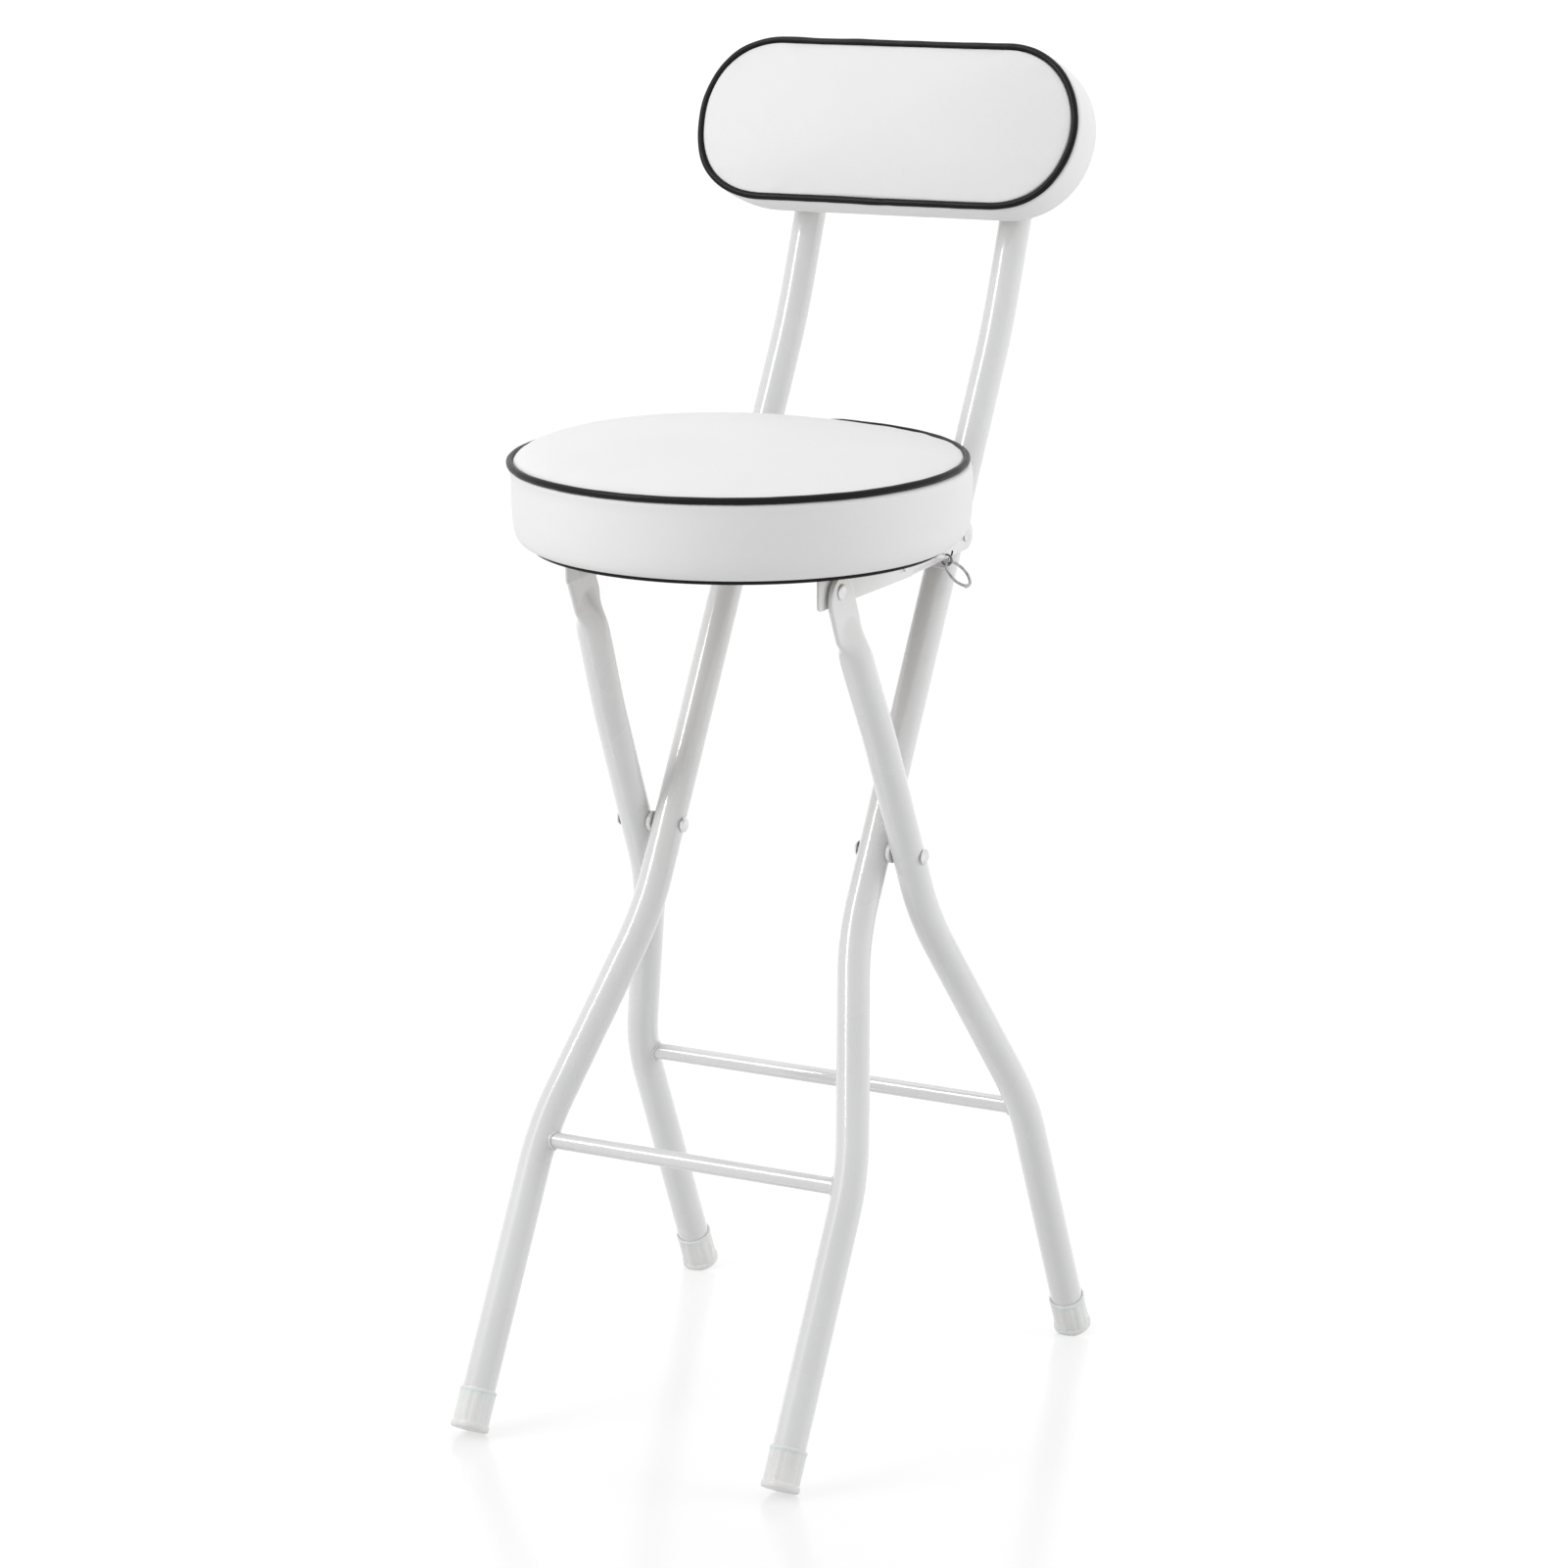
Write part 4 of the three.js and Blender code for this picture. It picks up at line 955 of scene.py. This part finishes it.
def disc_grid(count):
    """Square grid mapped to a disc with an even rim: x = u sqrt(1 - v^2/2), y = v sqrt(1 - u^2/2)."""
    steps = math.sqrt(2) * np.sin(np.linspace(-math.pi / 4, math.pi / 4, count + 1))
    u, v = np.meshgrid(steps, steps, indexing="ij")
    x = u * np.sqrt(1 - v ** 2 / 2)
    y = v * np.sqrt(1 - u ** 2 / 2)
    rim = [(count, k) for k in range(count)] + [(k, count) for k in range(count, 0, -1)]
    rim += [(0, k) for k in range(count, 0, -1)] + [(k, 0) for k in range(count)]
    return np.hypot(x, y), (np.arctan2(y, x) / (2 * math.pi)) % 1.0, np.array(rim)


def cushion(outline, crown, swell, depth, rounding, tail):
    """A closed cushion: crowned face, groove for the piping, swelling side, rounded lower edge and tail.

    The swell gives the crown's share of its full height at a share of the way out and a plan point. The
    side bulges by b sin(pi s) down its height, and its lower edge is a quarter of an ellipse. The result is
    the points, the faces and the points that the piping and the board hold.
    """
    count = 40
    rim_inset = -5.4
    rim_height = 1.6
    radial, share, rim = disc_grid(count)
    face = outline(share, rim_inset) * radial[..., None]
    height = rim_height + (crown - rim_height) * swell(np.clip(radial, 0, 1), face)
    points = np.concatenate([face, height[..., None]], -1).reshape(-1, 3)
    size = count + 1
    corner = (np.arange(count)[:, None] * size + np.arange(count)).ravel()
    faces = np.stack([corner, corner + size, corner + size + 1, corner + 1], -1).tolist()
    round_inset, round_depth = rounding
    side = depth - round_depth
    rows = [(-4.9, -0.6), (-3.6, -2.4), (-1.2, -3.1), (0.2, -4.6), (0.5, -7.5)]
    rows += [(side_swell * math.sin(math.pi * s), -side * s) for s in np.linspace(0.3, 1.0, 6)]
    for turn in np.linspace(0, math.pi / 2, 7)[1:]:
        rows.append((-round_inset * (1 - math.cos(turn)), -side - round_depth * math.sin(turn)))
    rings = carried_round(outline, share[rim[:, 0], rim[:, 1]], rows + tail)
    loops = len(points) + np.arange(rings.size // 3).reshape(rings.shape[:2])
    loops = np.concatenate([[rim @ [size, 1]], loops])
    after = np.roll(loops, -1, axis=1)
    faces += np.stack([loops[:-1], after[:-1], after[1:], loops[1:]], -1).reshape(-1, 4).tolist()
    faces.append(loops[-1].tolist())
    held = np.unique(np.concatenate([loops[:5], loops[-len(tail) - 1:]]))
    return np.concatenate([points, rings.reshape(-1, 3)]), faces, held.tolist()


def gathered(sewn, past_edge, waves, seed):
    """A sewn cover with small gathers beside its seam, which fade by e^(-d / 5) from a line 9 mm inside it.

    Their height is a sum of seven sines round the cushion, whose waves and starts are left to chance.
    """
    count = 7
    height = 0.35
    points, faces, held = sewn
    rng = np.random.default_rng(seed)
    turn = np.arctan2(points[:, 1], points[:, 0])
    ripple = np.zeros(len(points))
    for _ in range(count):
        ripple += np.sin(turn * int(rng.integers(*waves)) + rng.uniform(0, 2 * math.pi))
    near_seam = np.exp(-np.abs(past_edge + 9.0) / 5.0) * (points[:, 2] > 1.0)
    points[:, 2] += ripple / count ** 0.5 * height * near_seam
    return points, faces, held


def inflate(piece, held, pressure, cap):
    """Cloth under pressure for some frames. Each point's move d is then held to cap tanh(d / cap)."""
    frames = 20
    before = np.zeros(len(piece.data.vertices) * 3)
    piece.data.vertices.foreach_get("co", before)
    before = before.reshape(-1, 3)
    group = piece.vertex_groups.new(name="held")
    group.add(held, 1.0, "REPLACE")
    cloth = piece.modifiers.new("Cloth", "CLOTH")
    settings = {
        "vertex_group_mass": "held", "use_pressure": True, "uniform_pressure_force": pressure,
        "tension_stiffness": 25, "compression_stiffness": 25, "bending_stiffness": 6, "mass": 0.3,
        "quality": 6,
    }
    for key, value in settings.items():
        setattr(cloth.settings, key, value)
    cloth.settings.effector_weights.gravity = 0
    cloth.point_cache.frame_start = 1
    cloth.point_cache.frame_end = frames
    scene = bpy.context.scene
    for number in range(1, frames + 1):
        scene.frame_set(number)
    graph = bpy.context.evaluated_depsgraph_get()
    swollen = piece.evaluated_get(graph).to_mesh()
    after = np.zeros(len(swollen.vertices) * 3)
    swollen.vertices.foreach_get("co", after)
    piece.evaluated_get(graph).to_mesh_clear()
    piece.modifiers.remove(cloth)
    piece.vertex_groups.clear()
    scene.frame_set(1)
    move = after.reshape(-1, 3) - before
    size = np.linalg.norm(move, axis=1)[:, None]
    move *= np.tanh(size / cap) * cap / np.maximum(size, 1e-9)
    piece.data.vertices.foreach_set("co", (before + move).ravel())
    piece.data.update()


def padded_piece(name, sewn, place, body, node, swell):
    """A sewn cushion at its place, swollen by cloth pressure and subdivided once."""
    points, faces, held = sewn
    piece = make_object(name, place(points), faces, vinyl, body, [node], 60)
    inflate(piece, held, 4.0, swell * MM)
    smooth = piece.modifiers.new("Smooth surface", "SUBSURF")
    smooth.levels = 1
    smooth.render_levels = 1


# The seat's stuffing is uneven: full on one side, slack on the other, where the rim stands higher
slack_turn = math.radians(28.0)
slack_way = np.array([math.cos(slack_turn), math.sin(slack_turn)])
rim_drop = 1.15
rim_tilt = 1.3
side_shift = 2.6
side_tuck = 1.5


def seat_swell(radial, plan):
    """(1 - r^(2.2 - 0.4 w))^(0.8 + 0.3 w): square-shouldered where full, flat where slack, w = 1."""
    slack = plan @ slack_way / np.maximum(np.linalg.norm(plan, axis=-1), 1.0)
    return (1 - radial ** (2.2 - 0.4 * slack)) ** (0.8 + 0.3 * slack)


def rim_sag(points):
    """How far the rim is lifted: a tilt to the slack side, less an even drop."""
    return rim_tilt * (points[..., :2] @ slack_way) / seat_radius - rim_drop


def seat_place(points):
    """The seat's own place on the stool, moved by a plain shift."""
    return np.asarray(points, float) + [0.0, seat_y, seat_height]


def seat_rim_place(points):
    """The seat's place for what follows its rim."""
    points = np.array(points, float)
    points[..., 2] += rim_sag(points)
    return seat_place(points)


def seat_pad_place(points):
    """The rim tilts, and between it and the board the side stands over to the slack side.

    The tilt fades inward by r^2 and down the side by e^(z / 15). The side's shift comes in over 8 mm below
    the rim and goes out over 14 mm above the board, each by a smooth step.
    """
    points = np.array(points, float)
    level = points[:, 2].copy()
    reach = np.hypot(points[:, 0], points[:, 1])[:, None]
    inward = np.clip(reach[:, 0] / seat_radius, 0, 1) ** 2
    points[:, 2] += rim_sag(points) * np.where(level > 0, inward, np.exp(np.minimum(level, 0) / 15))
    share = np.clip((-level - 2.0) / 8.0, 0, 1) * np.clip((seat_depth + level) / 14.0, 0, 1)
    share = (share * share * (3 - 2 * share))[:, None]
    points[:, :2] += share * (side_shift * slack_way - side_tuck * points[:, :2] / np.maximum(reach, 1.0))
    return seat_place(points)


# The backrest's cover sits a little turned on its board
back_roll = math.radians(1.2)
back_drop = 0.6


def back_swell(radial, plan):
    """1 - r^2.2, the same all round."""
    return 1 - radial ** 2.2


def back_place(points):
    """The backrest's place: its plan is rolled and dropped a little, and its levels lie along its front."""
    points = np.asarray(points, float)
    x = points[..., :1] * math.cos(back_roll) - points[..., 1:2] * math.sin(back_roll)
    up = points[..., :1] * math.sin(back_roll) + points[..., 1:2] * math.cos(back_roll) - back_drop
    return back_centre + x * np.array([1.0, 0.0, 0.0]) + up * back_up + points[..., 2:3] * back_front


seat_outline = round_outline(seat_radius)
back_outline = obround_outline(*back_size, (0.0, 1.2, 2.8, 0.8))
board_over = -seat_depth - board_proud + board_thickness + fit
recess = board_radius + fit - seat_radius
sewn = cushion(
    seat_outline, seat_crown - 2.8, seat_swell, seat_depth, (seat_round_inset, seat_round_depth),
    [
        (-seat_round_inset - 1.6, -seat_depth), (recess, -seat_depth), (recess, board_over),
        (recess - 6.0, board_over),
    ],
)
sewn = gathered(sewn, np.hypot(sewn[0][:, 0], sewn[0][:, 1]) - seat_radius, (24, 60), 11)
padded_piece("seat_cushion", sewn, seat_pad_place, "seat", "seat_pad", 2.6)
sewn = cushion(
    back_outline, back_crown - 1.2, back_swell, back_depth, (back_round, back_round),
    [(-back_round - 5.0, -back_depth)],
)
past_straight = np.maximum(np.abs(sewn[0][:, 0]) - (back_size[0] - back_size[1]) / 2, 0)
sewn = gathered(sewn, np.hypot(past_straight, sewn[0][:, 1]) - back_size[1] / 2, (18, 52), 5)
padded_piece("backrest_cushion", sewn, back_place, "long_frame", "backrest_pad", 2.2)


# Piping: a cord in folded vinyl whose two ends lap, lying a little unevenly in its seam
def piping(node, outline, place, start, lap, wander, seed, body):
    """A round cord along its seam, which wanders by sines of chance waves, each over the root of its waves.

    Where they lap, the two ends part sideways and in level, and taper to a quarter of the radius.
    """
    count = 520
    t = np.linspace(0, 1 + lap, count)
    rng = np.random.default_rng(seed)
    drift = np.zeros(count)
    lift = np.zeros(count)
    for waves in rng.integers(3, 17, 8):
        drift += np.sin(2 * math.pi * waves * t + rng.uniform(0, 6.28)) / waves ** 0.5
        lift += np.sin(2 * math.pi * waves * t + rng.uniform(0, 6.28)) / waves ** 0.5
    parting = lap * 1.4
    last = np.clip((t - 1 + lap * 0.4) / parting, 0, 1)
    first = np.clip((parting - t) / parting, 0, 1)
    outset = -piping_radius + wander * drift + 0.9 * last ** 2 - 0.9 * first ** 2
    level = wander * lift + 0.5 * last - 0.5 * first
    flat = outline(t + start, 0.0)
    out = outline(t + start, 1.0) - flat
    centre = np.concatenate([flat + out * outset[:, None], level[:, None]], -1)
    ahead = unit(np.gradient(centre, axis=0))
    side = square_to(np.concatenate([out, np.zeros((count, 1))], -1), ahead)
    over = np.cross(ahead, side)
    over *= np.sign(over[:, 2:3])
    size = piping_radius * (1 + 0.02 * np.sin(2 * math.pi * 31 * t))
    from_end = np.clip(np.minimum(t, 1 + lap - t) / (lap * 0.7), 0, 1)
    size *= 0.25 + 0.75 * np.sin(from_end * math.pi / 2)
    rings = place(circles(centre, side, over, size, 20))
    skin(f"{node}_cord", rings, black_vinyl, body, [node], sharp=60)


piping("seat_piping", seat_outline, seat_rim_place, 0.24, 0.03, 0.12, 3, "seat")
piping("backrest_piping", back_outline, back_place, 0.735, 0.045, 0.3, 8, "long_frame")

# Trim round the cushion's lower edge
trim_top = -seat_depth - fit
trim_base = -seat_depth - board_proud - 0.8
trim_out = -seat_round_inset
trim_in = trim_out - trim_width + fit
section = [
    (trim_out - 0.3, trim_top), (trim_out, trim_top - 0.4), (trim_out, trim_base + 0.6),
    (trim_out - 0.6, trim_base), (trim_in + 0.4, trim_base), (trim_in, trim_base + 0.4),
    (trim_in, trim_top - 0.3), (trim_in + 0.3, trim_top),
]
rings = seat_place(carried_round(seat_outline, np.linspace(0, 1, 220, endpoint=False), section))
skin("seat_edge_trim_band", rings, black_vinyl, "seat", ["seat_edge_trim"], wrap_rows=True)

# Boards
for name in ("seat_board", "backrest_board"):
    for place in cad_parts[name].material_slots:
        place.material = board_finish

# Floor and backdrop: brighter to the camera than to the stool, so that both stay white behind it
floor_reach = 40.0
floor_glow = 0.53
floor_glow_on_stool = 0.27
backdrop_on_stool = 0.63
floor_mesh = bpy.data.meshes.new("floor")
floor_corners = [(x * floor_reach, y * floor_reach, 0) for x, y in ((-1, -1), (1, -1), (1, 1), (-1, 1))]
floor_mesh.from_pydata(floor_corners, [], [(0, 1, 2, 3)])
floor = bpy.data.objects.new("floor", floor_mesh)
bpy.context.scene.collection.objects.link(floor)
floor.location.z = -0.0004
floor_material = bpy.data.materials.new("floor")
floor_material.use_nodes = True
tree = floor_material.node_tree
seen = add_node(tree, "ShaderNodeLightPath", {}, {}, "Is Camera Ray")
seen = seen.highest(add_node(tree, "ShaderNodeLightPath", {}, {}, "Is Glossy Ray"))
set_inputs(tree, tree.nodes["Principled BSDF"], {
    "Base Color": (0.4, 0.4, 0.4, 1.0), "Roughness": 0.17, "IOR": 1.6, "Emission Strength": 1.0,
    "Emission Color": floor_glow_on_stool + seen * (floor_glow - floor_glow_on_stool),
})
floor_mesh.materials.append(floor_material)

world = bpy.data.worlds.new("studio")
bpy.context.scene.world = world
world.use_nodes = True
tree = world.node_tree
diffuse = add_node(tree, "ShaderNodeLightPath", {}, {}, "Is Diffuse Ray")
backdrop = 1.0 - diffuse * (1.0 - backdrop_on_stool)
set_inputs(tree, tree.nodes["Background"], {"Color": (1.0, 1.0, 1.0, 1.0), "Strength": backdrop})

# Lights and camera
camera_turn = math.radians(28.0014)
camera_rise = math.radians(13.8214)
camera_distance = 4.04873
camera_aim = Vector((0.00075, 0.00236, 0.467))
light_aim = Vector((0.0, 0.0, 0.6))


def stand(thing, place, way):
    """Put a light or the camera at a place in the scene, looking along a way."""
    thing.location = place
    thing.rotation_mode = "QUATERNION"
    thing.rotation_quaternion = way.to_track_quat("-Z", "Y")
    bpy.context.scene.collection.objects.link(thing)


def area_light(name, turn, distance, height, size, power, diffuse=True, glossy=True):
    """A soft box at an angle to the camera's side of the stool, aimed a little below the seat."""
    lamp = bpy.data.lights.new(name, "AREA")
    lamp.shape = "RECTANGLE"
    lamp.size, lamp.size_y = size
    lamp.energy = power
    light = bpy.data.objects.new(name, lamp)
    light.visible_diffuse = diffuse
    light.visible_glossy = glossy
    heading = camera_turn + math.radians(turn)
    place = Vector((math.sin(heading) * distance, -math.cos(heading) * distance, height))
    stand(light, place, light_aim - place)


area_light("left_strip", -65, 2.5, 2.75, (0.45, 1.7), 48, diffuse=False)
area_light("left_box", -70, 2.3, 1.5, (1.4, 1.6), 24, glossy=False)
area_light("right_box", 85, 2.4, 1.0, (1.4, 1.8), 19.5, glossy=False)
area_light("overhead", 180, 0.9, 2.9, (1.8, 1.8), 14)

camera_data = bpy.data.cameras.new("camera")
camera_data.sensor_width = 36.0
camera_data.lens = 121.73
camera_data.clip_end = 200.0
camera = bpy.data.objects.new("camera", camera_data)
back = Vector((math.sin(camera_turn), -math.cos(camera_turn), 0.0)) * math.cos(camera_rise)
back.z = math.sin(camera_rise)
stand(camera, camera_aim + back * camera_distance, -back)
bpy.context.scene.camera = camera
bpy.context.scene.view_settings.view_transform = "Standard"
